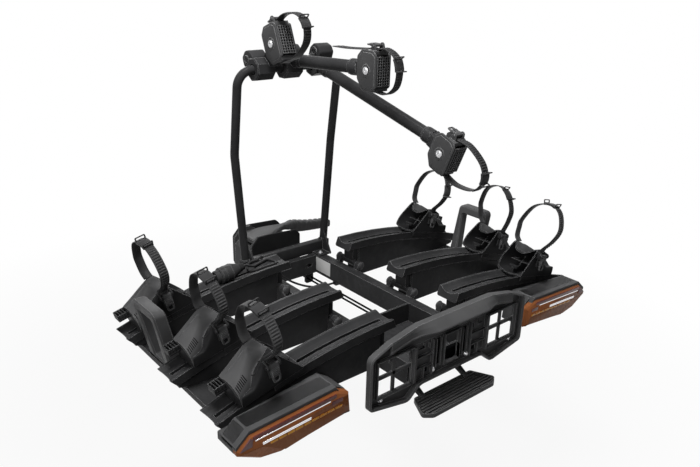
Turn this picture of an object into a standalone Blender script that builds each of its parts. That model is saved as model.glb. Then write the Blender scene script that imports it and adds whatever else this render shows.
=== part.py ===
"""Folding platform rack for three bicycles, clamped on a tow ball.

One object for each separate piece. Metres, +Z up, +Y towards the car,
+X to the right as seen from behind the car, origin at the tow ball's centre.
"""

import math

import bmesh
import bpy
import numpy as np
from mathutils import Matrix, Vector

# Fits
SEAT_GAP = 0.0003
PIN_CLEARANCE = 0.0003
SIDE_PLAY = 0.0005
SINK = 0.0025
ROUND_SIDES = 14
PIN_SIDES = 10

# Tow ball coupling
BALL_RADIUS = 0.0250
CUP_CLEARANCE = 0.0008
CUP_FLOOR_Z = -0.020
HOUSING_LEFT_X = -0.088
HOUSING_RIGHT_X = 0.095
HOUSING_REAR_Y = -0.045
HOUSING_FRONT_Y = 0.065
HOUSING_TOP_Z = 0.060
CHEEK_THICKNESS = 0.009
CHEEK_TOP_Z = 0.100
CHEEK_LOW_Z = 0.070
JAW_WIDTH = 0.036
JAW_HEIGHT = 0.030
JAW_LENGTH = 0.032
LEVER_PIVOT_X = -0.062
LEVER_PIVOT_Z = 0.080
LEVER_BARREL_RADIUS = 0.0110
LEVER_PIN_RADIUS = 0.0050
LEVER_PLATE_THICKNESS = 0.018
LEVER_NECK_X = 0.060
GRIP_START_X = 0.085
GRIP_LENGTH = 0.175
GRIP_WIDTH = 0.030
GRIP_HEIGHT = 0.028
GRIP_TOP_Z = 0.102
GRIP_DROP = 0.025

# Tilt hinge between the coupling and the platform
TILT_Y = -0.085
TILT_Z = 0.0
TONGUE_WIDTH = 0.067
TONGUE_RADIUS = 0.012
TILT_PIN_RADIUS = 0.006
TILT_EAR_THICKNESS = 0.010
TILT_EAR_RADIUS = 0.013
PIN_HEAD_RADIUS = 0.0090
PIN_HEAD_LENGTH = 0.0030

# Platform frame
BEAM_SPACING = 0.194
BEAM_WIDTH = 0.030
BEAM_HEIGHT = 0.060
BEAM_TOP_Z = 0.029
BEAM_FRONT_Y = -0.090
BEAM_LENGTH = 0.700
CHANNEL_FRONT_Y = -0.118
CHANNEL_DEPTH = 0.020
CHANNEL_SLOT_LENGTH = 0.028
CHANNEL_SLOT_HEIGHT = 0.011
CHANNEL_SLOT_X = 0.066
GUIDE_WIDTH = 0.032
GUIDE_DROP = 0.037
GUIDE_THICKNESS = 0.005
BRACKET_LENGTH = 0.230
BRACKET_WALL = 0.006
CABLE_CLIP_SIZE = 0.016

# Release pedal and its rods
ROD_RADIUS = 0.0030
ROD_CENTRE_X = 0.078
ROD_SPACING = 0.016
ROD_DROP = 0.019
ROD_FRONT_Y = -0.105
YOKE_REACH = 0.027
YOKE_LENGTH = 0.008
PEDAL_AXLE_INSET = 0.055
PEDAL_AXLE_DROP = 0.016
PEDAL_AXLE_RADIUS = 0.005
PEDAL_KNUCKLE_RADIUS = 0.010
PEDAL_ARM_WIDTH = 0.014
PEDAL_ARM_X = 0.078
PEDAL_EAR_THICKNESS = 0.007
TREAD_WIDTH = 0.266
TREAD_REAR_WIDTH = 0.220
TREAD_SETBACK = 0.058
TREAD_DEPTH = 0.077
TREAD_TAPER = 0.030
TREAD_CORNER = 0.018
TREAD_TOP_Z = -0.075
TREAD_THICKNESS = 0.013

# Hoop that carries the bicycle arms
HOOP_RADIUS = 0.0125
HOOP_FOOT_X = 0.148
HOOP_LEG_X = 0.174
HOOP_FOOT_Y = -0.1055
HOOP_BEND_HEIGHT = 0.366
HOOP_BAR_Y = -0.138
HOOP_HEIGHT = 0.606
HOOP_CORNER_RADIUS = 0.045
HOOP_BEND_RADIUS = 0.150
BASE_BAR_WIDTH = 0.025
BASE_BAR_HEIGHT = 0.036
BASE_BAR_OVERHANG = 0.016
GUSSET_THICKNESS = 0.005
GUSSET_LENGTH = 0.040
GUSSET_HEIGHT = 0.070
FOOT_PLATE_THICKNESS = 0.005

# Number plate holder
PLATE_HALF_WIDTH = 0.2735
PLATE_STANDOFF = 0.0324
PLATE_DEPTH = 0.020
PLATE_FLOOR = 0.005
PLATE_RIM = 0.008
PLATE_TOP_Z = 0.146
PLATE_SHOULDER_Z = 0.128
PLATE_END_TOP_Z = 0.105
PLATE_LOW_Z = -0.054
PLATE_END_LOW_Z = -0.031
PLATE_MIDDLE_LOW_Z = -0.022
PLATE_SHOULDER_X = 0.215
PLATE_FLAT_X = 0.130
PLATE_LOW_X = 0.150
PLATE_NOTCH_X = 0.113
PANE_INNER_X = 0.135
PANE_OUTER_X = 0.246
PANE_LOW_Z = -0.010
PANE_TOP_Z = 0.086
PANE_BAR = 0.009
MIDDLE_WINDOW_WIDTH = 0.060
VISOR_WIDTH = 0.172
VISOR_REACH = 0.027
VISOR_DROP = 0.016
VISOR_LIP = 0.005
SPACER_WIDTH = 0.180

# Folding wings
TRAY_SHARES = (0.23614, 0.57143, 0.85743)
TRAY_WIDTH = 0.0685
TRAY_RADIUS = 1.530
TRAY_APEX_X = 0.110
TRAY_APEX_Z = 0.115
TRAY_INNER_X = 0.1166
TRAY_OUTER_X = 0.6057
RAIL_HEIGHT = 0.026
RAIL_CHAMFER = 0.004
RAIL_INNER_SLANT = 0.010
RAIL_OUTER_SLANT = 0.012
RAIL_STEPS = 7
SLOT_STEPS = 4
LIP_WIDTH = 0.006
GUTTER_DEPTH = 0.010
SLOT_WIDTH = 0.010
SLOT_DEPTH = 0.010
SLOT_END = 0.014
WEB_WIDTH = 0.054
WEB_INNER_X = 0.154
WEB_FLOOR_Z = -0.003
WEB_SLOPE_INSET = 0.0607
WEB_END_HEIGHT = 0.009
HINGE_X = 0.140
HINGE_Z = 0.0395
KNUCKLE_RADIUS = 0.0095
HINGE_PIN_RADIUS = 0.0045
HINGE_PIN_HEAD = 0.0070
LUG_RADIUS = 0.0110
LUG_THICKNESS = 0.016
LUG_FOOT_DROP = 0.030
BLOCK_WIDTH = 0.042
BLOCK_INNER = 0.0065
OUTER_BAR_INSET = 0.1357
OUTER_BAR_WIDTH = 0.095
OUTER_BAR_HEIGHT = 0.014
HANDLE_OFFSET = 0.0063
HANDLE_WIDTH = 0.115
HANDLE_HEIGHT = 0.163
HANDLE_DEPTH = 0.033
HANDLE_FOOT_INSET = 0.0592
HANDLE_LEAN = 0.22
HANDLE_TOP_BAR = 0.026
HANDLE_LEG_TOP = 0.018
HANDLE_LEG_FOOT = 0.030
HANDLE_CORNER = 0.014

# Rear lamps
LAMP_DEPTH = 0.060
LENS_DEPTH = 0.0177
LENS_INSET = 0.003
LENS_BEVEL = 0.007
LAMP_SLAB = 0.008
LAMP_SLAB_REACH = 0.012
LAMP_INNER_X = 0.311
LAMP_INNER_TOP_X = 0.354
LAMP_TIP_X = 0.604
LAMP_TOP_Z = 0.064
LAMP_TIP_Z = 0.021
LAMP_TIP_HEIGHT = 0.020
LAMP_LOW_X = 0.500
LAMP_CORNER_X = 0.548
LAMP_LOW_Z = -0.037
LAMP_CORNER_Z = -0.029
LAMP_INNER_LOW_Z = -0.018
LAMP_INNER_HIGH_Z = 0.036

# Wheel holders
HOLDER_INNER_X = {"left": (0.412, 0.392, 0.388), "right": (0.370, 0.439, 0.366)}
HOLDER_LENGTH = 0.162
HOLDER_LEAN = 0.77
HOLDER_PLUS_Y = 0.052
HOLDER_TOE_TAPER = 0.012
HOLDER_RIDGE_INSET = 0.006
HOLDER_RIDGE_WIDTH = 0.010
HOLDER_SIDE_DROP = 0.55
HOLDER_MINUS_Y = 0.042
HOLDER_RIDGE_HEIGHT = 0.080
HOLDER_SADDLE_HEIGHT = 0.060
HOLDER_PLATE_HEIGHT = 0.076
HOLDER_TOE_HEIGHT = 0.044
HOLDER_WALL = 0.0035
HOLDER_KEEL = 0.0035
STEM_LENGTH = 0.026
STEM_START = 0.014
STEM_RISE = 0.016
STEM_BAR_WIDTH = 0.028
STEM_BAR_HEIGHT = 0.006
COMB_LENGTH = 0.028
COMB_WIDTH = 0.030
COMB_HEIGHT = 0.018
COMB_INSET = 0.004

# Straps and ratchet levers
STRAP_WIDTH = 0.024
STRAP_THICKNESS = 0.0025
STRAP_TAIL_HEIGHT = 0.030
# Each loop hangs in its own way: its outward slope, its top and its reach to each side
WHEEL_LOOPS = {
    "left": ((-0.08, 0.199, 0.072, 0.078), (-0.16, 0.184, 0.056, 0.078), (-0.23, 0.178, 0.066, 0.078)),
    "right": ((0.31, 0.203, 0.064, 0.069), (-0.16, 0.212, 0.060, 0.060), (0.45, 0.205, 0.064, 0.067)),
}
RATCHET_RISE = 0.0090
RATCHET_PIN_RADIUS = 0.0030
RATCHET_BARREL_RADIUS = 0.0055
RATCHET_EAR = 0.0040
RATCHET_EAR_RADIUS = 0.0075
RATCHET_HEIGHT = 0.064
RATCHET_LEVER_LENGTH = 0.034
RATCHET_LEVER_THICKNESS = 0.0060
RATCHET_TIP_THICKNESS = 0.0035

# Arms on the hoop, nearest bicycle first
ARM_X = (-0.099, -0.005, 0.099)
ARM_ELEVATION = (54.2, 0.0, -19.7)
ARM_REACH = (0.0888, 0.2850, 0.4940)
ARM_TUBE_RISE = (0.0, 0.021, 0.0)
ARM_HEAD_RISE = (0.0, 0.021, -0.0091)
ARM_HEAD_SIDE = (0.025, 0.065, 0.066)
HEAD_PITCH = (22.0, 0.0, -22.0)
HEAD_LOOP_DEPTH = (0.095, 0.058, 0.100)
HEAD_TAIL_LENGTH = (0.0, 0.120, 0.0)
HEAD_TAIL_DROP = 0.007
CLAW_RADIUS = 0.030
CLAW_WIDTH = 0.058
LOBE_HEIGHT = 0.062
LOBE_HALF_DEPTH = 0.025
LOBE_WIDTH = 0.050
ARM_TUBE_RADIUS = 0.0172
ARM_COLLAR_RADIUS = 0.0220
ARM_COLLAR_LENGTH = 0.030
TONGUE_HALF_WIDTH = 0.0180
TONGUE_END_RADIUS = 0.0180
HEAD_BOLT_RADIUS = 0.0040
HEAD_BOLT_HEAD_RADIUS = 0.0075
HEAD_BOLT_HEAD_LENGTH = 0.0035
HEAD_WIDTH = 0.054
HEAD_PLATE_THICKNESS = 0.0062
HEAD_HALF_DEPTH = 0.037
HEAD_HALF_HEIGHT = 0.052
HEAD_PAD_HALF_HEIGHT = 0.041
HEAD_PAD_THICKNESS = 0.011
HEAD_PAD_CORNER = 0.016
HEAD_BACK_CORNER = 0.0175
HEAD_LOW_CORNER = 0.020
HEAD_LOW_RISE = 0.028
HEAD_BRIDGE_HEIGHT = 0.012
HEAD_BRIDGE_START = 0.004

# Cable with its plug in the left front tray
CABLE_DIAMETER = 0.0065
PLUG_RADIUS = 0.0225
PLUG_LENGTH = 0.073
PLUG_OUTER_X = 0.335
PLUG_COLLAR_RADIUS = 0.0130
PLUG_COLLAR_LENGTH = 0.017
HANK_FOLD_RADIUS = 0.0195
HANK_RUN_START_X = 0.206
HANK_RUN_END_X = 0.162
HANK_STEP = 0.0076
LEAD_JOIN_Y = 0.075

# Values that follow from the sizes above
BEAM_INNER_X = BEAM_SPACING / 2
BEAM_OUTER_X = BEAM_INNER_X + BEAM_WIDTH
BEAM_LOW_Z = BEAM_TOP_Z - BEAM_HEIGHT
BEAM_REAR_Y = BEAM_FRONT_Y - BEAM_LENGTH
CROSS_HALF = BEAM_INNER_X - SEAT_GAP
TRAY_CENTRE_Y = tuple(BEAM_FRONT_Y - BEAM_LENGTH * share for share in TRAY_SHARES)
HANDLE_CENTRE_Y = (TRAY_CENTRE_Y[0] + TRAY_CENTRE_Y[1]) / 2 - HANDLE_OFFSET
BRACKET_FRONT_Y = BEAM_REAR_Y + BRACKET_LENGTH
PEDAL_AXLE_Y = BEAM_REAR_Y + PEDAL_AXLE_INSET
YOKE_Y = PEDAL_AXLE_Y + YOKE_REACH
TREAD_FRONT_Y = PEDAL_AXLE_Y - TREAD_SETBACK
TREAD_REAR_Y = TREAD_FRONT_Y - TREAD_DEPTH
PLATE_FACE_Y = BEAM_REAR_Y - PLATE_STANDOFF
OUTER_BAR_INNER_X = TRAY_OUTER_X - OUTER_BAR_INSET
HANDLE_FOOT_X = TRAY_OUTER_X - HANDLE_FOOT_INSET
WEB_SLOPE_X = TRAY_OUTER_X - WEB_SLOPE_INSET
HOOP_BEND_Z = BEAM_TOP_Z + HOOP_BEND_HEIGHT
HOOP_BAR_Z = BEAM_TOP_Z + HOOP_HEIGHT
TRAY_HALF = TRAY_WIDTH / 2
TROUGH_HALF = TRAY_HALF - LIP_WIDTH
ARC_CENTRE_Z = TRAY_APEX_Z - TRAY_RADIUS
LUG_START = TRAY_HALF + SIDE_PLAY
LUG_END = LUG_START + LUG_THICKNESS
STRAP_START = HOLDER_LEAN * HOLDER_RIDGE_HEIGHT + SIDE_PLAY
STRAP_MIDDLE = STRAP_START + STRAP_WIDTH / 2
RATCHET_WIDTH = STRAP_WIDTH - 2 * SIDE_PLAY
ROD_Z = BEAM_LOW_Z - ROD_DROP
PEDAL_AXLE_Z = BEAM_LOW_Z - PEDAL_AXLE_DROP
CABLE_RADIUS = CABLE_DIAMETER / 2
CLIP_FACE_X = BEAM_OUTER_X - BEAM_WIDTH / 2 - CABLE_CLIP_SIZE / 2
CLIP_Y = TRAY_CENTRE_Y[0] + TRAY_HALF - 0.003
CLIP_Z = BEAM_LOW_Z - CABLE_CLIP_SIZE / 2


def clear_scene():
    """Remove every object that the file starts with."""
    for item in list(bpy.data.objects):
        bpy.data.objects.remove(item)


def finish_mesh(shape):
    """Turn a bmesh into a mesh with outward faces."""
    bmesh.ops.recalc_face_normals(shape, faces=shape.faces)
    mesh = bpy.data.meshes.new("piece")
    shape.to_mesh(mesh)
    shape.free()
    return mesh


def loft(loops):
    """Skin equal loops of points one after another and cap both ends."""
    shape = bmesh.new()
    rows = [[shape.verts.new(point) for point in loop] for loop in loops]
    count = len(rows[0])
    for near, far in zip(rows, rows[1:]):
        for index in range(count):
            after = (index + 1) % count
            shape.faces.new((near[index], near[after], far[after], far[index]))
    shape.faces.new(list(reversed(rows[0])))
    shape.faces.new(rows[-1])
    return finish_mesh(shape)


def on_axis(axis, along, u, v):
    """Give the point at (u, v) across an axis and a distance along it."""
    if axis == "X":
        return (along, u, v)
    if axis == "Y":
        return (u, along, v)
    return (u, v, along)


def prism(outline, axis, low, high):
    """Extrude a closed outline along an axis, from low to high."""
    return loft([[on_axis(axis, level, u, v) for u, v in outline] for level in (low, high)])


def box(low, high):
    """Make a block from its lowest to its highest corner."""
    outline = [(low[0], low[1]), (high[0], low[1]), (high[0], high[1]), (low[0], high[1])]
    return prism(outline, "Z", low[2], high[2])


def arc(centre, radius, start, end, steps):
    """List points on an arc, with angles in degrees."""
    angles = [math.radians(start + (end - start) * step / steps) for step in range(steps + 1)]
    return [(centre[0] + radius * math.cos(a), centre[1] + radius * math.sin(a)) for a in angles]


def circle(centre, radius, sides):
    """List the corners of a round outline."""
    return arc(centre, radius, 0, 360, sides)[:-1]


def bore_radius(radius, sides):
    """Widen a faceted bore so that its flats clear a pin of this radius."""
    return (radius + PIN_CLEARANCE) / math.cos(math.pi / sides)


def rod(axis, centre, radius, low, high, sides=PIN_SIDES):
    """Make a straight round bar."""
    return prism(circle(centre, radius, sides), axis, low, high)


def bore(axis, centre, radius, low, high, sides=PIN_SIDES):
    """Make the cutter for a hole that clears a pin of this radius."""
    return rod(axis, centre, bore_radius(radius, sides), low, high, sides)


def turned(axis, centre, profile, sides):
    """Stack rings of (distance along, radius) pairs on a straight axis."""
    loops = []
    for along, radius in profile:
        loops.append([on_axis(axis, along, u, v) for u, v in circle(centre, radius, sides)])
    return loft(loops)


def headed_pin(axis, centre, radius, head_radius, low, high):
    """Make a pin with a head beyond each end of the stretch from low to high."""
    profile = [
        (low - PIN_HEAD_LENGTH, head_radius),
        (low, head_radius),
        (low + SINK / 100, radius),
        (high - SINK / 100, radius),
        (high, head_radius),
        (high + PIN_HEAD_LENGTH, head_radius),
    ]
    return turned(axis, centre, profile, PIN_SIDES)


def rounded(points, radii, steps):
    """Replace each inner corner of a path with an arc of its radius."""
    path = [Vector(points[0])]
    for before, corner, after, radius in zip(points, points[1:], points[2:], radii):
        corner = Vector(corner)
        back = (Vector(before) - corner).normalized()
        ahead = (Vector(after) - corner).normalized()
        half = back.angle(ahead) / 2
        reach = radius / math.tan(half)
        centre = corner + (back + ahead).normalized() * (radius / math.sin(half))
        start = corner + back * reach - centre
        turn = start.rotation_difference(corner + ahead * reach - centre)
        axis, angle = turn.to_axis_angle()
        for step in range(steps + 1):
            path.append(centre + Matrix.Rotation(angle * step / steps, 3, axis) @ start)
    path.append(Vector(points[-1]))
    return path


def tube(path, radius, sides):
    """Carry a round section along a path without twist."""
    points = [Vector(point) for point in path]
    tangents = []
    for index in range(len(points)):
        before = points[max(index - 1, 0)]
        after = points[min(index + 1, len(points) - 1)]
        tangents.append((after - before).normalized())
    side = tangents[0].orthogonal().normalized()
    loops = []
    for index, (point, tangent) in enumerate(zip(points, tangents)):
        if index:
            side = tangents[index - 1].rotation_difference(tangent) @ side
        other = tangent.cross(side)
        loops.append([point + side * u + other * v for u, v in circle((0, 0), radius, sides)])
    return loft(loops)


def smooth_path(points, steps):
    """Run a smooth curve through route points (uniform Catmull-Rom)."""
    route = np.array(points, dtype=float)
    ends = np.vstack((2 * route[0] - route[1], route, 2 * route[-1] - route[-2]))
    path = []
    for index in range(len(route) - 1):
        a, b, c, d = ends[index:index + 4]
        for step in range(steps):
            t = step / steps
            bend = 2 * a - 5 * b + 4 * c - d
            twist = 3 * b - a - 3 * c + d
            path.append(0.5 * (2 * b + (c - a) * t + bend * t * t + twist * t ** 3))
    path.append(route[-1])
    return np.array(path)


def band(path, low, high, thickness):
    """Carry a flat strap, square to the X axis, along a path of (y, z) points."""
    points = np.array(path, dtype=float)
    tangent = np.gradient(points, axis=0)
    tangent /= np.linalg.norm(tangent, axis=1)[:, None]
    normal = np.stack((-tangent[:, 1], tangent[:, 0]), axis=1) * thickness / 2
    loops = []
    for (y1, z1), (y2, z2) in zip(points + normal, points - normal):
        loops.append([(low, y1, z1), (high, y1, z1), (high, y2, z2), (low, y2, z2)])
    return loft(loops)


def combine(base, tools, operation):
    """Join a base with tools, or cut the tools out of it."""
    body = bpy.data.objects.new("base", base)
    bpy.context.collection.objects.link(body)
    helpers = []
    for tool in tools:
        helper = bpy.data.objects.new("tool", tool)
        bpy.context.collection.objects.link(helper)
        modifier = body.modifiers.new("combine", "BOOLEAN")
        modifier.operation = operation
        modifier.object = helper
        helpers.append(helper)
    graph = bpy.context.evaluated_depsgraph_get()
    result = bpy.data.meshes.new_from_object(body.evaluated_get(graph))
    for item in (body, *helpers):
        bpy.data.objects.remove(item)
    return result


def union(base, *tools):
    """Join solids that overlap into one."""
    return combine(base, tools, "UNION")


def cut(base, *tools):
    """Cut solids out of a base."""
    return combine(base, tools, "DIFFERENCE")


def group(meshes):
    """Put separate solids into one mesh."""
    shape = bmesh.new()
    for mesh in meshes:
        shape.from_mesh(mesh)
    return finish_mesh(shape)


def mirrored(mesh):
    """Copy a mesh to the other side of the middle plane."""
    copy = mesh.copy()
    copy.transform(Matrix.Scale(-1, 4, (1, 0, 0)))
    copy.flip_normals()
    return copy


def material(name, colour, roughness, metallic):
    """Make a plain finish."""
    finish = bpy.data.materials.new(name)
    finish.use_nodes = True
    shader = finish.node_tree.nodes["Principled BSDF"]
    shader.inputs["Base Color"].default_value = (*colour, 1.0)
    shader.inputs["Roughness"].default_value = roughness
    shader.inputs["Metallic"].default_value = metallic
    return finish


def pivot(name, point, parent=None, turn_y=0.0, turn_x=0.0):
    """Add an empty at a joint; the point is in the parent's own frame."""
    empty = bpy.data.objects.new(name, None)
    empty.location = point
    empty.rotation_euler = (turn_x, turn_y, 0.0)
    empty.parent = parent
    empty.hide_render = True
    bpy.context.collection.objects.link(empty)
    return empty


def place(name, data, finish, parent=None, offset=(0, 0, 0)):
    """Add a named piece; the offset is in the parent's own frame."""
    piece = bpy.data.objects.new(name, data)
    piece.parent = parent
    piece.location = offset
    if not data.materials:
        data.materials.append(finish)
    if isinstance(data, bpy.types.Mesh):
        data.shade_smooth()
        data.set_sharp_from_angle(angle=math.radians(35))
    bpy.context.collection.objects.link(piece)
    return piece


def from_pivot(origin, shift=(0, 0, 0)):
    """Offset that puts a mesh drawn in the part's frame under a pivot at origin."""
    return tuple(s - o for s, o in zip(shift, origin))


def arc_angle(x):
    """Angle along the trays' arc at a distance from the middle plane."""
    return math.asin((x - TRAY_APEX_X) / TRAY_RADIUS)


def on_tray(x, height):
    """Point (x, z) at a height above the tray's lips, square to its arc."""
    angle = arc_angle(x)
    reach = TRAY_RADIUS + height
    return (TRAY_APEX_X + reach * math.sin(angle), ARC_CENTRE_Z + reach * math.cos(angle))


def gutter_drop(y):
    """Depth of the tray's trough below its lips at a distance from its middle."""
    return GUTTER_DEPTH * max(0.0, 1 - (y / TROUGH_HALF) ** 2)


def housing_mesh():
    """Coupling body: trough with two cheeks, ball cup, jaw channel and tilt tongue."""
    floor = [
        (HOUSING_LEFT_X, CUP_FLOOR_Z),
        (HOUSING_RIGHT_X, CUP_FLOOR_Z),
        (HOUSING_RIGHT_X, HOUSING_TOP_Z - 0.006),
        (HOUSING_RIGHT_X - 0.010, HOUSING_TOP_Z),
        (HOUSING_LEFT_X + 0.010, HOUSING_TOP_Z),
        (HOUSING_LEFT_X, HOUSING_TOP_Z - 0.010),
    ]
    body = prism(floor, "Y", HOUSING_REAR_Y + CHEEK_THICKNESS / 2, HOUSING_FRONT_Y - CHEEK_THICKNESS / 2)
    cheek = [
        (HOUSING_LEFT_X - 0.001, CUP_FLOOR_Z - 0.001),
        (HOUSING_RIGHT_X + 0.001, CUP_FLOOR_Z - 0.001),
        (HOUSING_RIGHT_X + 0.001, CHEEK_LOW_Z - 0.008),
        (HOUSING_RIGHT_X - 0.025, CHEEK_LOW_Z),
        (LEVER_PIVOT_X + 0.064, CHEEK_LOW_Z + 0.006),
        (LEVER_PIVOT_X + 0.034, CHEEK_TOP_Z),
        (LEVER_PIVOT_X, CHEEK_TOP_Z),
        (HOUSING_LEFT_X - 0.001, CHEEK_LOW_Z),
    ]
    rear = prism(cheek, "Y", HOUSING_REAR_Y, HOUSING_REAR_Y + CHEEK_THICKNESS)
    front = prism(cheek, "Y", HOUSING_FRONT_Y - CHEEK_THICKNESS, HOUSING_FRONT_Y)
    half = TONGUE_WIDTH / 2
    tongue = [
        (HOUSING_REAR_Y + CHEEK_THICKNESS / 2, TILT_Z + TONGUE_RADIUS),
        *arc((TILT_Y, TILT_Z), TONGUE_RADIUS, 90, 270, 8),
        (HOUSING_REAR_Y + CHEEK_THICKNESS / 2, TILT_Z - TONGUE_RADIUS),
    ]
    body = union(body, rear, front, prism(tongue, "X", -half, half))
    cup_radius = BALL_RADIUS + CUP_CLEARANCE
    dome = [(cup_radius, CUP_FLOOR_Z - 0.005)]
    dome += [
        (cup_radius * math.cos(math.radians(a)), cup_radius * math.sin(math.radians(a)))
        for a in (0, 25, 50, 75)]
    cup = turned("Z", (0, 0), [(z, r) for r, z in dome], ROUND_SIDES)
    channel_half = JAW_WIDTH / 2 + SEAT_GAP
    channel_rise = JAW_HEIGHT / 2 + SEAT_GAP
    channel = box((-channel_half, 0.0, -channel_rise), (channel_half, HOUSING_FRONT_Y + 0.01, channel_rise))
    tilt_bore = bore("X", (TILT_Y, TILT_Z), TILT_PIN_RADIUS, -half - 0.01, half + 0.01)
    pin_bore = bore(
        "Y", (LEVER_PIVOT_X, LEVER_PIVOT_Z), LEVER_PIN_RADIUS,
        HOUSING_REAR_Y - 0.01, HOUSING_FRONT_Y + 0.01)
    return cut(body, cup, channel, tilt_bore, pin_bore)


def jaw_mesh():
    """Clamp jaw with the hollow that grips the ball's front."""
    start = BALL_RADIUS + CUP_CLEARANCE - 0.006
    block = box(
        (-JAW_WIDTH / 2, start, -JAW_HEIGHT / 2), (JAW_WIDTH / 2, start + JAW_LENGTH, JAW_HEIGHT / 2))
    grip_radius = BALL_RADIUS + CUP_CLEARANCE / 2
    profile = [(grip_radius * math.sin(math.radians(a)), grip_radius * math.cos(math.radians(a)))
               for a in (-75, -50, -25, 0, 25, 50, 75)]
    return cut(block, turned("Z", (0, 0), profile, 2 * ROUND_SIDES))


def lever_mesh():
    """Clamping lever: barrel, wide plate, neck and hand grip."""
    wide = (HOUSING_FRONT_Y - HOUSING_REAR_Y) / 2 - CHEEK_THICKNESS - SIDE_PLAY
    middle_y = (HOUSING_FRONT_Y + HOUSING_REAR_Y) / 2
    plate_low = LEVER_PIVOT_Z - LEVER_BARREL_RADIUS
    plate_top = plate_low + LEVER_PLATE_THICKNESS
    grip_low = GRIP_TOP_Z - GRIP_HEIGHT
    stations = [
        (LEVER_PIVOT_X - 0.004, wide, plate_low, plate_top),
        (LEVER_PIVOT_X + 0.050, wide, plate_low, plate_top + 0.004),
        (LEVER_PIVOT_X + 0.084, wide * 0.72, plate_low + 0.002, plate_top + 0.008),
        (LEVER_NECK_X, GRIP_WIDTH * 0.42, grip_low + 0.006, GRIP_TOP_Z - 0.004),
        (GRIP_START_X, GRIP_WIDTH * 0.42, grip_low + 0.002, GRIP_TOP_Z - 0.002),
        (GRIP_START_X + 0.004, GRIP_WIDTH / 2, grip_low, GRIP_TOP_Z),
        (GRIP_START_X + GRIP_LENGTH * 0.94, GRIP_WIDTH / 2,
         grip_low - GRIP_DROP * 0.94, GRIP_TOP_Z - GRIP_DROP * 0.94),
        (GRIP_START_X + GRIP_LENGTH, GRIP_WIDTH * 0.36,
         grip_low - GRIP_DROP + 0.006, GRIP_TOP_Z - GRIP_DROP - 0.006),
    ]
    loops = []
    for x, half, low, high in stations:
        bevel = 0.004
        loops.append([
            (x, middle_y - half, low + bevel), (x, middle_y - half + bevel, low),
            (x, middle_y + half - bevel, low), (x, middle_y + half, low + bevel),
            (x, middle_y + half, high - bevel), (x, middle_y + half - bevel, high),
            (x, middle_y - half + bevel, high), (x, middle_y - half, high - bevel),
        ])
    centre = (LEVER_PIVOT_X, LEVER_PIVOT_Z)
    barrel = rod("Y", centre, LEVER_BARREL_RADIUS, middle_y - wide, middle_y + wide, ROUND_SIDES)
    hole = bore("Y", centre, LEVER_PIN_RADIUS, middle_y - wide - 0.01, middle_y + wide + 0.01)
    return cut(union(loft(loops), barrel), hole)


def lever_pin_mesh():
    """Pin of the clamping lever, with a head outside each cheek."""
    return headed_pin(
        "Y", (LEVER_PIVOT_X, LEVER_PIVOT_Z), LEVER_PIN_RADIUS, PIN_HEAD_RADIUS,
        HOUSING_REAR_Y - SEAT_GAP, HOUSING_FRONT_Y + SEAT_GAP)


def tilt_pin_mesh():
    """Pin of the tilt hinge, with a head outside each ear."""
    reach = TONGUE_WIDTH / 2 + SIDE_PLAY + TILT_EAR_THICKNESS + SEAT_GAP
    return headed_pin("X", (TILT_Y, TILT_Z), TILT_PIN_RADIUS, PIN_HEAD_RADIUS, -reach, reach)


def beam_mesh():
    """Right beam with the lugs of the wing hinges and their riveted pins."""
    beam = box((BEAM_INNER_X, BEAM_REAR_Y, BEAM_LOW_Z), (BEAM_OUTER_X, BEAM_FRONT_Y, BEAM_TOP_Z))
    lug = [
        *arc((HINGE_X, HINGE_Z), LUG_RADIUS, 150, -50, 8),
        (BEAM_OUTER_X, BEAM_TOP_Z - LUG_FOOT_DROP),
        (BEAM_OUTER_X - SINK, BEAM_TOP_Z - LUG_FOOT_DROP),
        (BEAM_OUTER_X - SINK, BEAM_TOP_Z - SINK / 5),
    ]
    lugs = []
    for centre in TRAY_CENTRE_Y:
        lugs.append(prism(lug, "Y", centre + LUG_START, centre + LUG_END))
        lugs.append(prism(lug, "Y", centre - LUG_END, centre - LUG_START))
    pins = []
    for centre in TRAY_CENTRE_Y:
        reach = LUG_END + PIN_HEAD_LENGTH
        pins.append(turned("Y", (HINGE_X, HINGE_Z), [
            (centre - reach, HINGE_PIN_HEAD), (centre - LUG_END + SINK, HINGE_PIN_HEAD),
            (centre - LUG_END + 1.1 * SINK, HINGE_PIN_RADIUS),
            (centre + LUG_END - 1.1 * SINK, HINGE_PIN_RADIUS),
            (centre + LUG_END - SINK, HINGE_PIN_HEAD), (centre + reach, HINGE_PIN_HEAD)], PIN_SIDES))
    return union(beam, group(lugs), group(pins))


def right_beam_mesh():
    """Right beam with the clip below it that takes the end of the cable."""
    half = CABLE_CLIP_SIZE / 2
    clip = box(
        (CLIP_FACE_X, CLIP_Y - half, BEAM_LOW_Z - CABLE_CLIP_SIZE),
        (CLIP_FACE_X + CABLE_CLIP_SIZE, CLIP_Y + half, BEAM_LOW_Z + SINK))
    return union(beam_mesh(), clip)


def oblong(centre, length, height, steps):
    """Outline with round ends."""
    half = (length - height) / 2
    right = arc((centre[0] + half, centre[1]), height / 2, -90, 90, steps)
    left = arc((centre[0] - half, centre[1]), height / 2, 90, 270, steps)
    return right + left


def rod_places():
    """Cross positions (x, z) of the two release rods."""
    return [(ROD_CENTRE_X - ROD_SPACING / 2, ROD_Z), (ROD_CENTRE_X + ROD_SPACING / 2, ROD_Z)]


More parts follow.
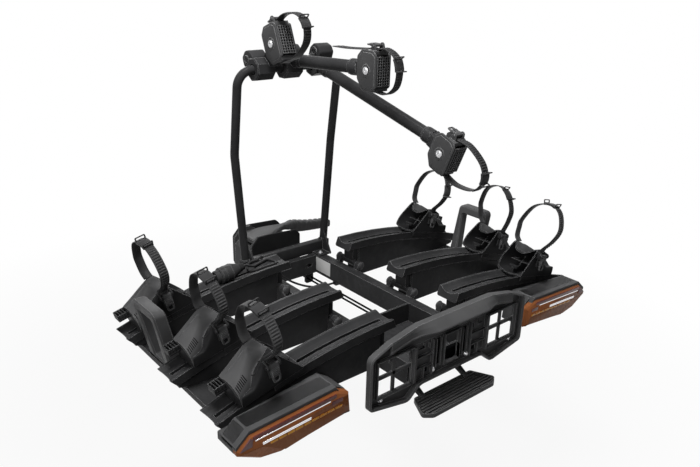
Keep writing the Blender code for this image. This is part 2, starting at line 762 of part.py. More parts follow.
def guide_mesh(front_y):
    """Plate that hangs below the frame and guides the release rods."""
    half = GUIDE_WIDTH / 2
    outline = [
        (ROD_CENTRE_X - half, BEAM_LOW_Z + SINK),
        (ROD_CENTRE_X - half, BEAM_LOW_Z - GUIDE_DROP + 0.006),
        (ROD_CENTRE_X - half + 0.006, BEAM_LOW_Z - GUIDE_DROP),
        (ROD_CENTRE_X + half - 0.006, BEAM_LOW_Z - GUIDE_DROP),
        (ROD_CENTRE_X + half, BEAM_LOW_Z - GUIDE_DROP + 0.006),
        (ROD_CENTRE_X + half, BEAM_LOW_Z + SINK),
    ]
    return prism(outline, "Y", front_y - GUIDE_THICKNESS, front_y)


def rod_bores(front_y):
    """Cutters for the rods' holes through a guide."""
    return group([
        bore("Y", place_xz, ROD_RADIUS, front_y - GUIDE_THICKNESS - 0.01, front_y + 0.01)
        for place_xz in rod_places()])


def front_channel_mesh():
    """Cross channel between the beams with the ears of the tilt hinge."""
    rear_y = CHANNEL_FRONT_Y - CHANNEL_DEPTH
    channel = box((-CROSS_HALF, rear_y, BEAM_LOW_Z), (CROSS_HALF, CHANNEL_FRONT_Y, BEAM_TOP_Z))
    ear = [
        (CHANNEL_FRONT_Y - SINK, TILT_Z - TILT_EAR_RADIUS),
        *arc((TILT_Y, TILT_Z), TILT_EAR_RADIUS, -90, 90, 8),
        (CHANNEL_FRONT_Y - SINK, TILT_Z + TILT_EAR_RADIUS),
    ]
    near = TONGUE_WIDTH / 2 + SIDE_PLAY
    far = near + TILT_EAR_THICKNESS
    guide_y = CHANNEL_FRONT_Y - SINK
    body = union(
        channel, prism(ear, "X", near, far), prism(ear, "X", -far, -near), guide_mesh(guide_y))
    slots = group([
        prism(
            oblong((x, 0.0), CHANNEL_SLOT_LENGTH, CHANNEL_SLOT_HEIGHT, 4), "Y",
            rear_y - 0.01, CHANNEL_FRONT_Y + 0.01)
        for x in (-CHANNEL_SLOT_X, CHANNEL_SLOT_X)])
    tilt_bore = bore("X", (TILT_Y, TILT_Z), TILT_PIN_RADIUS, -far - 0.01, far + 0.01)
    return cut(body, slots, tilt_bore, rod_bores(guide_y))


def rear_bracket_mesh():
    """Rear cross bracket: trough between the beams, pedal axle and rod guide."""
    wall = BRACKET_WALL
    outline = [
        (BEAM_REAR_Y, BEAM_LOW_Z),
        (BRACKET_FRONT_Y, BEAM_LOW_Z),
        (BRACKET_FRONT_Y, BEAM_TOP_Z),
        (BRACKET_FRONT_Y - wall, BEAM_TOP_Z),
        (BRACKET_FRONT_Y - wall, BEAM_LOW_Z + wall),
        (BEAM_REAR_Y + wall, BEAM_LOW_Z + wall),
        (BEAM_REAR_Y + wall, BEAM_TOP_Z),
        (BEAM_REAR_Y, BEAM_TOP_Z),
    ]
    trough = prism(outline, "X", -CROSS_HALF, CROSS_HALF)
    drop = PEDAL_KNUCKLE_RADIUS
    ear = [
        (PEDAL_AXLE_Y - drop, BEAM_LOW_Z + SINK),
        *arc((PEDAL_AXLE_Y, PEDAL_AXLE_Z), drop, 180, 360, 6),
        (PEDAL_AXLE_Y + drop, BEAM_LOW_Z + SINK),
    ]
    outer = CROSS_HALF
    inner = outer - PEDAL_EAR_THICKNESS
    axle = rod("X", (PEDAL_AXLE_Y, PEDAL_AXLE_Z), PEDAL_AXLE_RADIUS, -inner - SINK, inner + SINK)
    guide_y = BRACKET_FRONT_Y - SINK
    body = union(
        trough, prism(ear, "X", inner, outer), prism(ear, "X", -outer, -inner), axle, guide_mesh(guide_y))
    return cut(body, rod_bores(guide_y))


def hoop_mesh():
    """Welded hoop: bent tube, base bar, foot plates and gussets."""
    seat_z = BEAM_TOP_Z + SEAT_GAP
    foot_z = seat_z + BASE_BAR_HEIGHT / 2
    corners = [
        (HOOP_FOOT_X, HOOP_FOOT_Y, foot_z),
        (HOOP_LEG_X, HOOP_FOOT_Y, HOOP_BEND_Z),
        (HOOP_LEG_X, HOOP_BAR_Y, HOOP_BAR_Z),
        (-HOOP_LEG_X, HOOP_BAR_Y, HOOP_BAR_Z),
        (-HOOP_LEG_X, HOOP_FOOT_Y, HOOP_BEND_Z),
        (-HOOP_FOOT_X, HOOP_FOOT_Y, foot_z),
    ]
    radii = [HOOP_BEND_RADIUS, HOOP_CORNER_RADIUS, HOOP_CORNER_RADIUS, HOOP_BEND_RADIUS]
    loop = tube(rounded(corners, radii, 4), HOOP_RADIUS, ROUND_SIDES)
    half = BASE_BAR_WIDTH / 2
    end_x = HOOP_FOOT_X + BASE_BAR_OVERHANG
    bar = box(
        (-end_x, HOOP_FOOT_Y - half, seat_z), (end_x, HOOP_FOOT_Y + half, seat_z + BASE_BAR_HEIGHT))
    rear_y = HOOP_FOOT_Y - half
    gusset = [
        (rear_y + SINK, seat_z + SINK / 5),
        (rear_y + SINK, seat_z + GUSSET_HEIGHT),
        (rear_y - 0.004, seat_z + GUSSET_HEIGHT),
        (rear_y - GUSSET_LENGTH, seat_z + FOOT_PLATE_THICKNESS),
        (rear_y - GUSSET_LENGTH, seat_z + SINK / 5),
    ]
    plate_inner = BEAM_INNER_X
    plate_outer = HINGE_X + GUSSET_THICKNESS / 2
    pieces = []
    for side in (1, -1):
        gusset_x = sorted((side * (plate_outer - GUSSET_THICKNESS), side * plate_outer))
        plate_x = sorted((side * plate_inner, side * (plate_outer - SINK / 2)))
        pieces.append(prism(gusset, "X", *gusset_x))
        pieces.append(box(
            (plate_x[0], rear_y - GUSSET_LENGTH + SINK, seat_z),
            (plate_x[1], rear_y + SINK, seat_z + FOOT_PLATE_THICKNESS)))
    return union(loop, bar, *pieces)


def plate_outline(inset):
    """Outline of the number plate holder, drawn in by an inset."""
    half = [
        (PLATE_FLAT_X, PLATE_TOP_Z - inset),
        (PLATE_SHOULDER_X - inset * 0.3, PLATE_SHOULDER_Z - inset),
        (PLATE_HALF_WIDTH - inset, PLATE_END_TOP_Z - inset * 0.8),
        (PLATE_HALF_WIDTH - inset, PLATE_END_LOW_Z + inset),
        (PLATE_LOW_X - inset * 0.2, PLATE_LOW_Z + inset),
        (PLATE_NOTCH_X - inset * 0.4, PLATE_MIDDLE_LOW_Z + inset),
    ]
    return half + [(-x, z) for x, z in reversed(half)]


def plate_holder_mesh():
    """Number plate holder: rimmed panel with windows, visor and spacer."""
    face_y = PLATE_FACE_Y
    back_y = face_y + PLATE_DEPTH
    panel = prism(plate_outline(0.0), "Y", face_y, back_y)
    pocket = prism(plate_outline(PLATE_RIM), "Y", face_y - 0.01, back_y - PLATE_FLOOR)
    spacer = box(
        (-SPACER_WIDTH / 2, back_y - SINK, PLATE_MIDDLE_LOW_Z + PLATE_RIM),
        (SPACER_WIDTH / 2, BEAM_REAR_Y - SEAT_GAP, BEAM_TOP_Z))
    visor_side = [
        (face_y + SINK, PLATE_TOP_Z - 0.001),
        (face_y - VISOR_REACH, PLATE_TOP_Z - VISOR_DROP),
        (face_y - VISOR_REACH, PLATE_TOP_Z - VISOR_DROP - VISOR_LIP),
        (face_y + SINK, PLATE_TOP_Z - PLATE_RIM + 0.001),
    ]
    visor = prism(visor_side, "X", -VISOR_WIDTH / 2, VISOR_WIDTH / 2)
    windows = [box(
        (-MIDDLE_WINDOW_WIDTH / 2, face_y - 0.01, BEAM_TOP_Z + SINK),
        (MIDDLE_WINDOW_WIDTH / 2, back_y + 0.01, PANE_TOP_Z))]
    middle_x = (PANE_INNER_X + PANE_OUTER_X) / 2
    middle_z = (PANE_LOW_Z + PANE_TOP_Z) / 2
    spans_x = [(PANE_INNER_X, middle_x - PANE_BAR / 2), (middle_x + PANE_BAR / 2, PANE_OUTER_X)]
    spans_z = [(PANE_LOW_Z, middle_z - PANE_BAR / 2), (middle_z + PANE_BAR / 2, PANE_TOP_Z)]
    for low_x, high_x in spans_x:
        for low_z, high_z in spans_z:
            pane = box((low_x, face_y - 0.01, low_z), (high_x, back_y + 0.01, high_z))
            windows.extend((pane, mirrored(pane)))
    return cut(union(cut(panel, pocket), spacer, visor), group(windows))


def pedal_mesh():
    """Foot pedal: tread on two arms that turn on the axle."""
    rear = TREAD_REAR_WIDTH / 2
    wide = TREAD_WIDTH / 2
    tread = [
        (-wide, TREAD_REAR_Y + TREAD_CORNER), (-rear, TREAD_REAR_Y), (rear, TREAD_REAR_Y),
        (wide, TREAD_REAR_Y + TREAD_CORNER), (wide - TREAD_TAPER, TREAD_FRONT_Y),
        (-wide + TREAD_TAPER, TREAD_FRONT_Y),
    ]
    body = prism(tread, "Z", TREAD_TOP_Z - TREAD_THICKNESS, TREAD_TOP_Z)
    centre = (PEDAL_AXLE_Y, PEDAL_AXLE_Z)
    arm = [
        (TREAD_FRONT_Y - TREAD_THICKNESS, TREAD_TOP_Z - SINK),
        (PEDAL_AXLE_Y - PEDAL_KNUCKLE_RADIUS * 0.7, PEDAL_AXLE_Z + PEDAL_KNUCKLE_RADIUS * 0.7),
        *arc(centre, PEDAL_KNUCKLE_RADIUS, 90, -90, 6),
        (TREAD_FRONT_Y - TREAD_THICKNESS, TREAD_TOP_Z - TREAD_THICKNESS + SINK),
    ]
    arms = []
    for side in (1, -1):
        low = side * PEDAL_ARM_X - PEDAL_ARM_WIDTH / 2
        arms.append(prism(arm, "X", low, low + PEDAL_ARM_WIDTH))
    hole = bore("X", centre, PEDAL_AXLE_RADIUS, -wide, wide)
    return cut(union(body, *arms), hole)


def release_rods_mesh():
    """Two pull rods joined by a yoke in front of the pedal."""
    rods = [rod("Y", centre, ROD_RADIUS, YOKE_Y + SINK, ROD_FRONT_Y, 8) for centre in rod_places()]
    half = ROD_SPACING / 2 + ROD_RADIUS + 0.002
    yoke = box(
        (ROD_CENTRE_X - half, YOKE_Y, ROD_Z - ROD_RADIUS - 0.002),
        (ROD_CENTRE_X + half, YOKE_Y + YOKE_LENGTH, ROD_Z + ROD_RADIUS + 0.002))
    return union(yoke, *rods)


def tray_mesh():
    """Right wheel tray, its middle at y = 0: arched rail, web and hinge knuckle."""
    start = arc_angle(TRAY_INNER_X)
    end = arc_angle(TRAY_OUTER_X)
    section = [(-TRAY_HALF, 0.0), (-TROUGH_HALF, 0.0)]
    section += [(TROUGH_HALF * t, -gutter_drop(TROUGH_HALF * t)) for t in (-0.66, -0.3, 0.3, 0.66)]
    section += [
        (TROUGH_HALF, 0.0), (TRAY_HALF, 0.0),
        (TRAY_HALF, -RAIL_HEIGHT + RAIL_CHAMFER), (TRAY_HALF - RAIL_CHAMFER, -RAIL_HEIGHT),
        (-TRAY_HALF + RAIL_CHAMFER, -RAIL_HEIGHT), (-TRAY_HALF, -RAIL_HEIGHT + RAIL_CHAMFER),
    ]
    loops = []
    for step in range(RAIL_STEPS + 1):
        angle = start + (end - start) * step / RAIL_STEPS
        loop = []
        for y, height in section:
            share = -height / RAIL_HEIGHT
            slant = -RAIL_INNER_SLANT * share if step == 0 else 0.0
            slant = -RAIL_OUTER_SLANT * share if step == RAIL_STEPS else slant
            reach = TRAY_RADIUS + height
            turn = angle + slant / TRAY_RADIUS
            loop.append((TRAY_APEX_X + reach * math.sin(turn), y, ARC_CENTRE_Z + reach * math.cos(turn)))
        loops.append(loop)
    rail = loft(loops)
    slot_loops = []
    half = SLOT_WIDTH / 2
    for step in range(SLOT_STEPS + 1):
        low_x = TRAY_INNER_X + SLOT_END
        x = low_x + (TRAY_OUTER_X - SLOT_END - low_x) * step / SLOT_STEPS
        low = on_tray(x, -GUTTER_DEPTH - SLOT_DEPTH)
        high = on_tray(x, 0.005)
        slot_loops.append([
            (low[0], -half, low[1]), (low[0], half, low[1]),
            (high[0], half, high[1]), (high[0], -half, high[1])])
    web_top = -RAIL_HEIGHT + SINK
    web_end = TRAY_OUTER_X - RAIL_OUTER_SLANT
    web = [
        (WEB_INNER_X, WEB_FLOOR_Z), (WEB_SLOPE_X, WEB_FLOOR_Z),
        on_tray(web_end, -RAIL_HEIGHT - WEB_END_HEIGHT)]
    for step in range(6):
        web.append(on_tray(web_end + (WEB_INNER_X - web_end) * step / 5, web_top))
    block = [
        (HINGE_X - BLOCK_INNER, HINGE_Z), (WEB_INNER_X + SINK, HINGE_Z - KNUCKLE_RADIUS / 2),
        (WEB_INNER_X + SINK, on_tray(WEB_INNER_X, web_top)[1]),
        (HINGE_X - BLOCK_INNER, on_tray(HINGE_X, web_top)[1]),
    ]
    knuckle = rod("Y", (HINGE_X, HINGE_Z), KNUCKLE_RADIUS, -TRAY_HALF, TRAY_HALF, ROUND_SIDES)
    body = union(
        rail, prism(web, "Y", -WEB_WIDTH / 2, WEB_WIDTH / 2),
        prism(block, "Y", -BLOCK_WIDTH / 2, BLOCK_WIDTH / 2), knuckle)
    hole = bore("Y", (HINGE_X, HINGE_Z), HINGE_PIN_RADIUS, -TRAY_HALF - 0.01, TRAY_HALF + 0.01)
    return cut(body, loft(slot_loops), hole)


def outer_bar_mesh():
    """Flat bar under the webs that ties a wing's trays together."""
    top = WEB_FLOOR_Z - SEAT_GAP
    return box(
        (OUTER_BAR_INNER_X, TRAY_CENTRE_Y[2] - TRAY_HALF, top - OUTER_BAR_HEIGHT),
        (OUTER_BAR_INNER_X + OUTER_BAR_WIDTH, TRAY_CENTRE_Y[0] + TRAY_HALF, top))


def handle_mesh():
    """Carrying handle: closed loop that leans outward from the outer bar."""
    half = HANDLE_WIDTH / 2
    corner = HANDLE_CORNER
    top = HANDLE_HEIGHT
    outer = [(half, 0.0)]
    outer += arc((half - corner, top - corner), corner, 0, 90, 3)
    outer += [(-y, z) for y, z in reversed(outer)]
    hole_top = top - HANDLE_TOP_BAR
    foot = HANDLE_LEG_TOP / 2
    inner = [
        (half - HANDLE_LEG_FOOT, foot), (half - HANDLE_LEG_TOP, hole_top - 0.006),
        (half - HANDLE_LEG_TOP - 0.006, hole_top),
    ]
    inner += [(-y, z) for y, z in reversed(inner)]
    depth = HANDLE_DEPTH / 2
    body = cut(prism(outer, "X", -depth, depth), prism(inner, "X", -depth - 0.01, depth + 0.01))
    lean = Matrix.Identity(4)
    lean[0][2] = HANDLE_LEAN
    body.transform(lean)
    body.transform(Matrix.Translation((HANDLE_FOOT_X, HANDLE_CENTRE_Y, WEB_FLOOR_Z)))
    return body


def lamp_outline(inset, top_drop):
    """Outline (x, z) of the right lamp, seen from behind."""
    slope = (LAMP_TIP_Z - LAMP_TOP_Z) / (LAMP_TIP_X - LAMP_INNER_TOP_X)
    return [
        (LAMP_INNER_TOP_X + inset, LAMP_TOP_Z - inset - top_drop),
        (LAMP_INNER_X + 0.006 + inset, LAMP_INNER_HIGH_Z - inset / 2),
        (LAMP_INNER_X + inset, LAMP_INNER_LOW_Z + inset),
        (LAMP_LOW_X, LAMP_LOW_Z + inset),
        (LAMP_CORNER_X - inset / 2, LAMP_CORNER_Z + inset),
        (LAMP_TIP_X - inset, LAMP_TIP_Z - LAMP_TIP_HEIGHT + inset / 2),
        (LAMP_TIP_X - inset, LAMP_TIP_Z - inset - top_drop - slope * inset),
    ]


def lamp_front_y():
    """Plane where a lamp housing meets the side of the rear tray."""
    return TRAY_CENTRE_Y[2] - TRAY_HALF - SEAT_GAP


def lamp_housing_mesh():
    """Lamp housing with the slab that overhangs the lens."""
    front_y = lamp_front_y()
    rear_y = front_y - LAMP_DEPTH
    body = prism(lamp_outline(0.0, 0.0), "Y", rear_y, front_y)
    top = lamp_outline(0.0, 0.0)
    slab = [
        top[0], (top[0][0] - 0.006, top[0][1] - LAMP_SLAB),
        (top[6][0] - 0.006, top[6][1] - LAMP_SLAB), top[6]]
    return union(body, prism(slab, "Y", rear_y - LAMP_SLAB_REACH, rear_y + SINK))


def lens_mesh():
    """Lamp lens with a bevelled rim."""
    near = lamp_front_y() - LAMP_DEPTH - SEAT_GAP
    drop = LAMP_SLAB + SEAT_GAP
    far = near - LENS_DEPTH
    levels = [(near, LENS_INSET), (far + LENS_BEVEL, LENS_INSET), (far, LENS_BEVEL)]
    return loft([[(x, y, z) for x, z in lamp_outline(inset, drop)] for y, inset in levels])


def holder_section(share, shrink):
    """One cross-section (y, height) of a wheel holder, from its open rim to its toe."""
    fall = share ** 0.85
    ridge = HOLDER_RIDGE_HEIGHT + (HOLDER_TOE_HEIGHT - HOLDER_RIDGE_HEIGHT) * share ** 1.4
    saddle = HOLDER_SADDLE_HEIGHT + (HOLDER_TOE_HEIGHT * 0.9 - HOLDER_SADDLE_HEIGHT) * fall
    drop = min(max((share - 0.25) / 0.5, 0.0), 1.0)
    ledge = HOLDER_TOE_HEIGHT * HOLDER_SIDE_DROP
    side = HOLDER_PLATE_HEIGHT + (ledge - HOLDER_PLATE_HEIGHT) * drop
    plus = HOLDER_PLUS_Y - HOLDER_TOE_TAPER * share
    top = plus - HOLDER_RIDGE_INSET
    back = top - HOLDER_RIDGE_WIDTH
    minus = HOLDER_MINUS_Y
    rest = TRAY_HALF - LIP_WIDTH
    points = [
        (-minus, SEAT_GAP), (-rest, SEAT_GAP), (-0.010, -HOLDER_KEEL), (0.010, -HOLDER_KEEL),
        (rest, SEAT_GAP),
        (plus - 0.008, ridge * 0.08), (plus, ridge * 0.38), (plus - 0.002, ridge * 0.72),
        (top, ridge), (back, ridge), (back - 0.012, saddle + (ridge - saddle) * 0.2),
        (0.0, saddle), (-0.014, saddle + (side - saddle) * 0.3), (-minus + 0.014, side),
        (-minus + 0.002, side), (-minus, side * 0.6),
    ]
    if not shrink:
        return points
    middle = sum(h for _, h in points) / len(points)
    wall = HOLDER_WALL
    inner = []
    for y, height in points:
        inward = wall if height < middle else -wall
        inner.append((y * (1 - wall / minus), height + inward))
    return inner


def holder_loops(shares, shrink, reach):
    """Sections of a holder, leaning outward at the rim and upright at the toe."""
    loops = []
    for share in shares:
        lean = HOLDER_LEAN * (1 - share)
        base = reach * share
        section = holder_section(max(share, 0.0), shrink)
        loops.append([(base + lean * max(height, 0.0), y, height) for y, height in section])
    return loops


def ratchet_ears(turn):
    """Ears and pin of a ratchet, for a lever axis at the origin along X.

    Turn is the Matrix that swings their foot, drawn along -Z, to the seat.
    """
    inner = STRAP_WIDTH / 2 + SIDE_PLAY
    outer = inner + RATCHET_EAR
    foot = -RATCHET_RISE - STRAP_THICKNESS - SINK
    radius = RATCHET_EAR_RADIUS
    outline = [(-radius, foot), *arc((0, 0), radius, 180, 0, 6), (radius, foot)]
    pin = rod("X", (0, 0), RATCHET_PIN_RADIUS, -inner - SINK, inner + SINK, 8)
    pieces = [prism(outline, "X", inner, outer), prism(outline, "X", -outer, -inner), pin]
    for piece in pieces:
        piece.transform(turn)
    return pieces


def ratchet_lever_mesh():
    """Ratchet lever on its axis along X, with its blade towards -Y."""
    half = RATCHET_WIDTH / 2
    barrel = rod("X", (0, 0), RATCHET_BARREL_RADIUS, -half, half, 10)
    thick = RATCHET_LEVER_THICKNESS / 2
    blade = [
        (0.0, -thick), (0.0, thick), (-RATCHET_LEVER_LENGTH * 0.7, thick),
        (-RATCHET_LEVER_LENGTH, thick + 0.002),
        (-RATCHET_LEVER_LENGTH, thick + 0.002 - RATCHET_TIP_THICKNESS),
        (-RATCHET_LEVER_LENGTH * 0.7, -thick + 0.001),
    ]
    hole = bore("X", (0, 0), RATCHET_PIN_RADIUS, -half - 0.01, half + 0.01, 8)
    return cut(union(barrel, prism(blade, "X", -half, half)), hole)


def wheel_ratchet_place():
    """Axis (along, y, height) of a wheel holder's ratchet lever."""
    seat = -HOLDER_MINUS_Y - SEAT_GAP - STRAP_THICKNESS
    return (STRAP_MIDDLE, seat - RATCHET_RISE + 2 * SIDE_PLAY, RATCHET_HEIGHT)


def holder_mesh():
    """Right wheel holder in its own frame: X outward along the tray, Z square to it."""
    outer = loft(holder_loops((0.0, 0.18, 0.4, 0.65, 1.0), False, HOLDER_LENGTH))
    inner = loft(holder_loops((-0.06, 0.18, 0.4, 0.72), True, HOLDER_LENGTH))
    shell = cut(outer, inner)
    slot_half = SLOT_WIDTH / 2 - 2 * SIDE_PLAY
    stem = box(
        (STEM_START, -slot_half, -GUTTER_DEPTH - SLOT_DEPTH / 2),
        (STEM_START + STEM_LENGTH, slot_half, STEM_RISE))
    bar = box(
        (STEM_START, -STEM_BAR_WIDTH / 2, STEM_RISE - SINK),
        (STEM_START + STEM_LENGTH / 2, STEM_BAR_WIDTH / 2, STEM_RISE + STEM_BAR_HEIGHT))
    comb_top = HOLDER_TOE_HEIGHT - 0.002
    comb_y = HOLDER_PLUS_Y - HOLDER_TOE_TAPER - COMB_INSET
    comb = box(
        (HOLDER_LENGTH - SINK, comb_y - COMB_WIDTH, comb_top - COMB_HEIGHT),
        (HOLDER_LENGTH + COMB_LENGTH, comb_y, comb_top))
    along, y, height = wheel_ratchet_place()
    turn = Matrix.Translation((along, y, height)) @ Matrix.Rotation(math.radians(90), 4, "X")
    return union(shell, stem, bar, comb, *ratchet_ears(turn))


def wheel_strap_mesh(loop):
    """Strap loop of a wheel holder, from the ridge over the tyre to the ratchet.

    Loop gives its outward slope above the holder, its top and its reach to +Y and -Y.
    """
    lean, top, plus, minus = loop
    lift = SEAT_GAP + STRAP_THICKNESS / 2
    ridge = HOLDER_RIDGE_HEIGHT
    start_y = HOLDER_PLUS_Y - HOLDER_RIDGE_INSET - HOLDER_RIDGE_WIDTH / 2
    down_y = -HOLDER_MINUS_Y - lift
    rise = top - ridge
    route = [
        (start_y - 0.003, ridge + lift),
        (start_y + (plus - start_y) * 0.5, ridge + rise * 0.12),
        (plus - 0.004, ridge + rise * 0.30),
        (plus, ridge + rise * 0.50),
        (plus * 0.72, top - rise * 0.14),
        (0.0, top),
        (-minus * 0.60, top - rise * 0.12),
        (-minus, ridge + rise * 0.54),
        (-minus * 0.94, ridge + rise * 0.26),
        (down_y - 0.0012, HOLDER_PLATE_HEIGHT + 0.004),
        (down_y, RATCHET_HEIGHT),
        (down_y, STRAP_TAIL_HEIGHT),
    ]
    strap = band(smooth_path(route, 2), STRAP_START, STRAP_START + STRAP_WIDTH, STRAP_THICKNESS)
    for vertex in strap.vertices:
        vertex.co.x += lean * max(0.0, vertex.co.z - ridge - 2 * STRAP_THICKNESS)
    return strap


def head_outline():
    """Side outline (y, z) of a head, about its bolt, with the pad towards -Y."""
    deep = HEAD_HALF_DEPTH
    tall = HEAD_HALF_HEIGHT
    return [
        (-deep, -HEAD_PAD_HALF_HEIGHT), (-deep, HEAD_PAD_HALF_HEIGHT), (-deep + HEAD_PAD_CORNER, tall),
        (deep - HEAD_BACK_CORNER, tall), (deep, tall - HEAD_BACK_CORNER), (deep, -tall + HEAD_LOW_RISE),
        (deep - HEAD_LOW_CORNER, -tall), (-deep + HEAD_PAD_CORNER, -tall),
    ]


def head_swing():
    """Radius that a head's side plates sweep about the bolt."""
    return max(math.hypot(y, z) for y, z in head_outline())


def head_ratchet_place():
    """Axis (y, z) of a head's ratchet lever."""
    seat = HEAD_HALF_HEIGHT + SEAT_GAP + STRAP_THICKNESS
    return (-HEAD_BRIDGE_START - RATCHET_EAR_RADIUS - SINK, seat + RATCHET_RISE - 2 * SIDE_PLAY)


def head_mesh():
    """Frame clamp head: two side plates, pad, bridges, bolt and ratchet ears."""
    outer = HEAD_WIDTH / 2
    inner = outer - HEAD_PLATE_THICKNESS
    outline = head_outline()
    plates = [prism(outline, "X", inner, outer), prism(outline, "X", -outer, -inner)]
    deep = HEAD_HALF_DEPTH
    tall = HEAD_HALF_HEIGHT
    pad = box(
        (-inner - SINK, -deep - SINK, -HEAD_PAD_HALF_HEIGHT + SINK),
        (inner + SINK, -deep + HEAD_PAD_THICKNESS, HEAD_PAD_HALF_HEIGHT - SINK))
    bridges = []
    flush = tall - SINK / 10
    foot = tall - HEAD_BRIDGE_HEIGHT
    for low, high in ((foot, flush), (-flush, -foot)):
        bridges.append(box(
            (-inner - SINK, -deep + HEAD_PAD_THICKNESS - 2 * SINK, low),
            (inner + SINK, -HEAD_BRIDGE_START, high)))
    bolt = turned("X", (0, 0), [
        (-outer - HEAD_BOLT_HEAD_LENGTH, HEAD_BOLT_HEAD_RADIUS),
        (-outer + SINK, HEAD_BOLT_HEAD_RADIUS),
        (-outer + 1.01 * SINK, HEAD_BOLT_RADIUS),
        (outer - 1.01 * SINK, HEAD_BOLT_RADIUS),
        (outer - SINK, HEAD_BOLT_HEAD_RADIUS),
        (outer + HEAD_BOLT_HEAD_LENGTH, HEAD_BOLT_HEAD_RADIUS)], PIN_SIDES)
    y, z = head_ratchet_place()
    ears = ratchet_ears(Matrix.Translation((0, y, z)))
    return union(plates[0], plates[1], pad, *bridges, bolt, *ears)


def head_strap_mesh(depth, tail):
    """Strap loop of a head, from its top over the frame tube to its bottom."""
    lift = SEAT_GAP + STRAP_THICKNESS / 2
    deep = HEAD_HALF_DEPTH
    tall = HEAD_HALF_HEIGHT
    far = -deep - depth
    half = tall * 0.60
    start = [(0.0, tall + lift)]
    if tail:
        start = [
            (deep + tail, tall - HEAD_TAIL_DROP),
            (deep + tail * 0.5, tall - HEAD_TAIL_DROP * 0.92),
            (deep - HEAD_PAD_CORNER, tall + lift - HEAD_TAIL_DROP * 0.4),
            (HEAD_BRIDGE_START, tall + lift)]
    route = [
        *start,
        (-deep + 1.1 * HEAD_PAD_CORNER, tall + lift),
        (-deep - depth * 0.22, tall + lift + depth * 0.06),
        (far + depth * 0.24, tall * 0.84),
        (far, half * 0.55),
        (far, -half * 0.40),
        (far + depth * 0.20, -tall * 0.72),
        (-deep - depth * 0.30, -tall - lift - depth * 0.02),
        (-deep + HEAD_PAD_CORNER, -tall - lift),
        (-HEAD_BRIDGE_START, -tall - lift),
    ]
    return band(smooth_path(route, 2), -STRAP_WIDTH / 2, STRAP_WIDTH / 2, STRAP_THICKNESS)


def arm_mesh(reach, rise, side, tube_rise):
    """Arm on the hoop's bar: claw, tube and tongue, drawn along -Y from the bar."""
    claw = arc((0, 0), CLAW_RADIUS / math.cos(math.pi / 8), 22.5, 382.5, 8)[:-1]
    half = CLAW_WIDTH / 2
    deep = LOBE_HALF_DEPTH
    lobe = [
        (-deep, CLAW_RADIUS / 3), (deep, CLAW_RADIUS / 3), (deep, LOBE_HEIGHT * 0.70),
        (deep * 0.50, LOBE_HEIGHT), (-deep * 0.45, LOBE_HEIGHT), (-deep, LOBE_HEIGHT * 0.80),
    ]
    pieces = [prism(claw, "X", -half, half), prism(lobe, "X", -LOBE_WIDTH / 2, LOBE_WIDTH / 2)]
    bolt = (-reach, rise)
    root_y = -reach + head_swing() + SIDE_PLAY
    long_arm = root_y < -CLAW_RADIUS - ARM_COLLAR_LENGTH
    tongue_root = root_y if long_arm else -CLAW_RADIUS + SINK
    blade = TONGUE_END_RADIUS
    tongue = [(tongue_root + SINK, tube_rise - blade), (tongue_root + SINK, tube_rise + blade)]
    tongue += arc(bolt, blade, 90, 270, 8)
    tongue_half = TONGUE_HALF_WIDTH
    pieces.append(prism(tongue, "X", side - tongue_half, side + tongue_half))
    if long_arm:
        start = Vector((0.0, -CLAW_RADIUS + 3 * SINK, tube_rise))
        end = Vector((side, root_y, tube_rise))
        ahead = (end - start).normalized()
        pieces.append(tube([start, end - ahead * SINK], ARM_TUBE_RADIUS, ROUND_SIDES))
        pieces.append(tube([end - ahead * ARM_COLLAR_LENGTH, end], ARM_COLLAR_RADIUS, ROUND_SIDES))
        pieces.append(tube(
            [start, start + ahead * ARM_COLLAR_LENGTH], ARM_COLLAR_RADIUS * 0.92, ROUND_SIDES))
    bar_hole = bore("X", (0, 0), HOOP_RADIUS, -half - 0.01, half + 0.01, ROUND_SIDES)
    bolt_hole = bore(
        "X", bolt, HEAD_BOLT_RADIUS, side - tongue_half - 0.01, side + tongue_half + 0.01)
    return cut(union(*pieces), bar_hole, bolt_hole)


def plug_place():
    """Distance from the middle plane of the plug's middle."""
    return PLUG_OUTER_X - PLUG_LENGTH / 2


def plug_height():
    """Height of the plug's axis over the tray's lips, where its body rests in the trough."""
    return PLUG_RADIUS - GUTTER_DEPTH + 4 * SEAT_GAP


def plug_mesh():
    """Lamp plug along its own X axis, with its cable collar towards +X."""
    half = PLUG_LENGTH / 2
    radius = PLUG_RADIUS
    return turned("X", (0, 0), [
        (-half, radius * 0.82), (-half + 0.012, radius * 0.82), (-half + 0.013, radius),
        (half - 0.022, radius), (half - 0.012, radius * 0.80), (half, radius * 0.62),
        (half + 0.001, PLUG_COLLAR_RADIUS),
        (half + PLUG_COLLAR_LENGTH, PLUG_COLLAR_RADIUS * 0.8)], ROUND_SIDES)


def cable_curve(name, path, resolution):
    """Round cable along points, with closed ends."""
    curve = bpy.data.curves.new(name, "CURVE")
    curve.dimensions = "3D"
    curve.bevel_depth = CABLE_RADIUS
    curve.bevel_resolution = resolution
    curve.use_fill_caps = True
    spline = curve.splines.new("POLY")
    spline.points.add(len(path) - 1)
    for point, place_xyz in zip(spline.points, path):
        point.co = (*place_xyz, 1.0)
    return curve


def tray_rest(x, y):
    """Height of a cable's axis that lies in the left front tray."""
    return on_tray(abs(x), 0.0)[1] - gutter_drop(y) + CABLE_RADIUS + 6 * SEAT_GAP


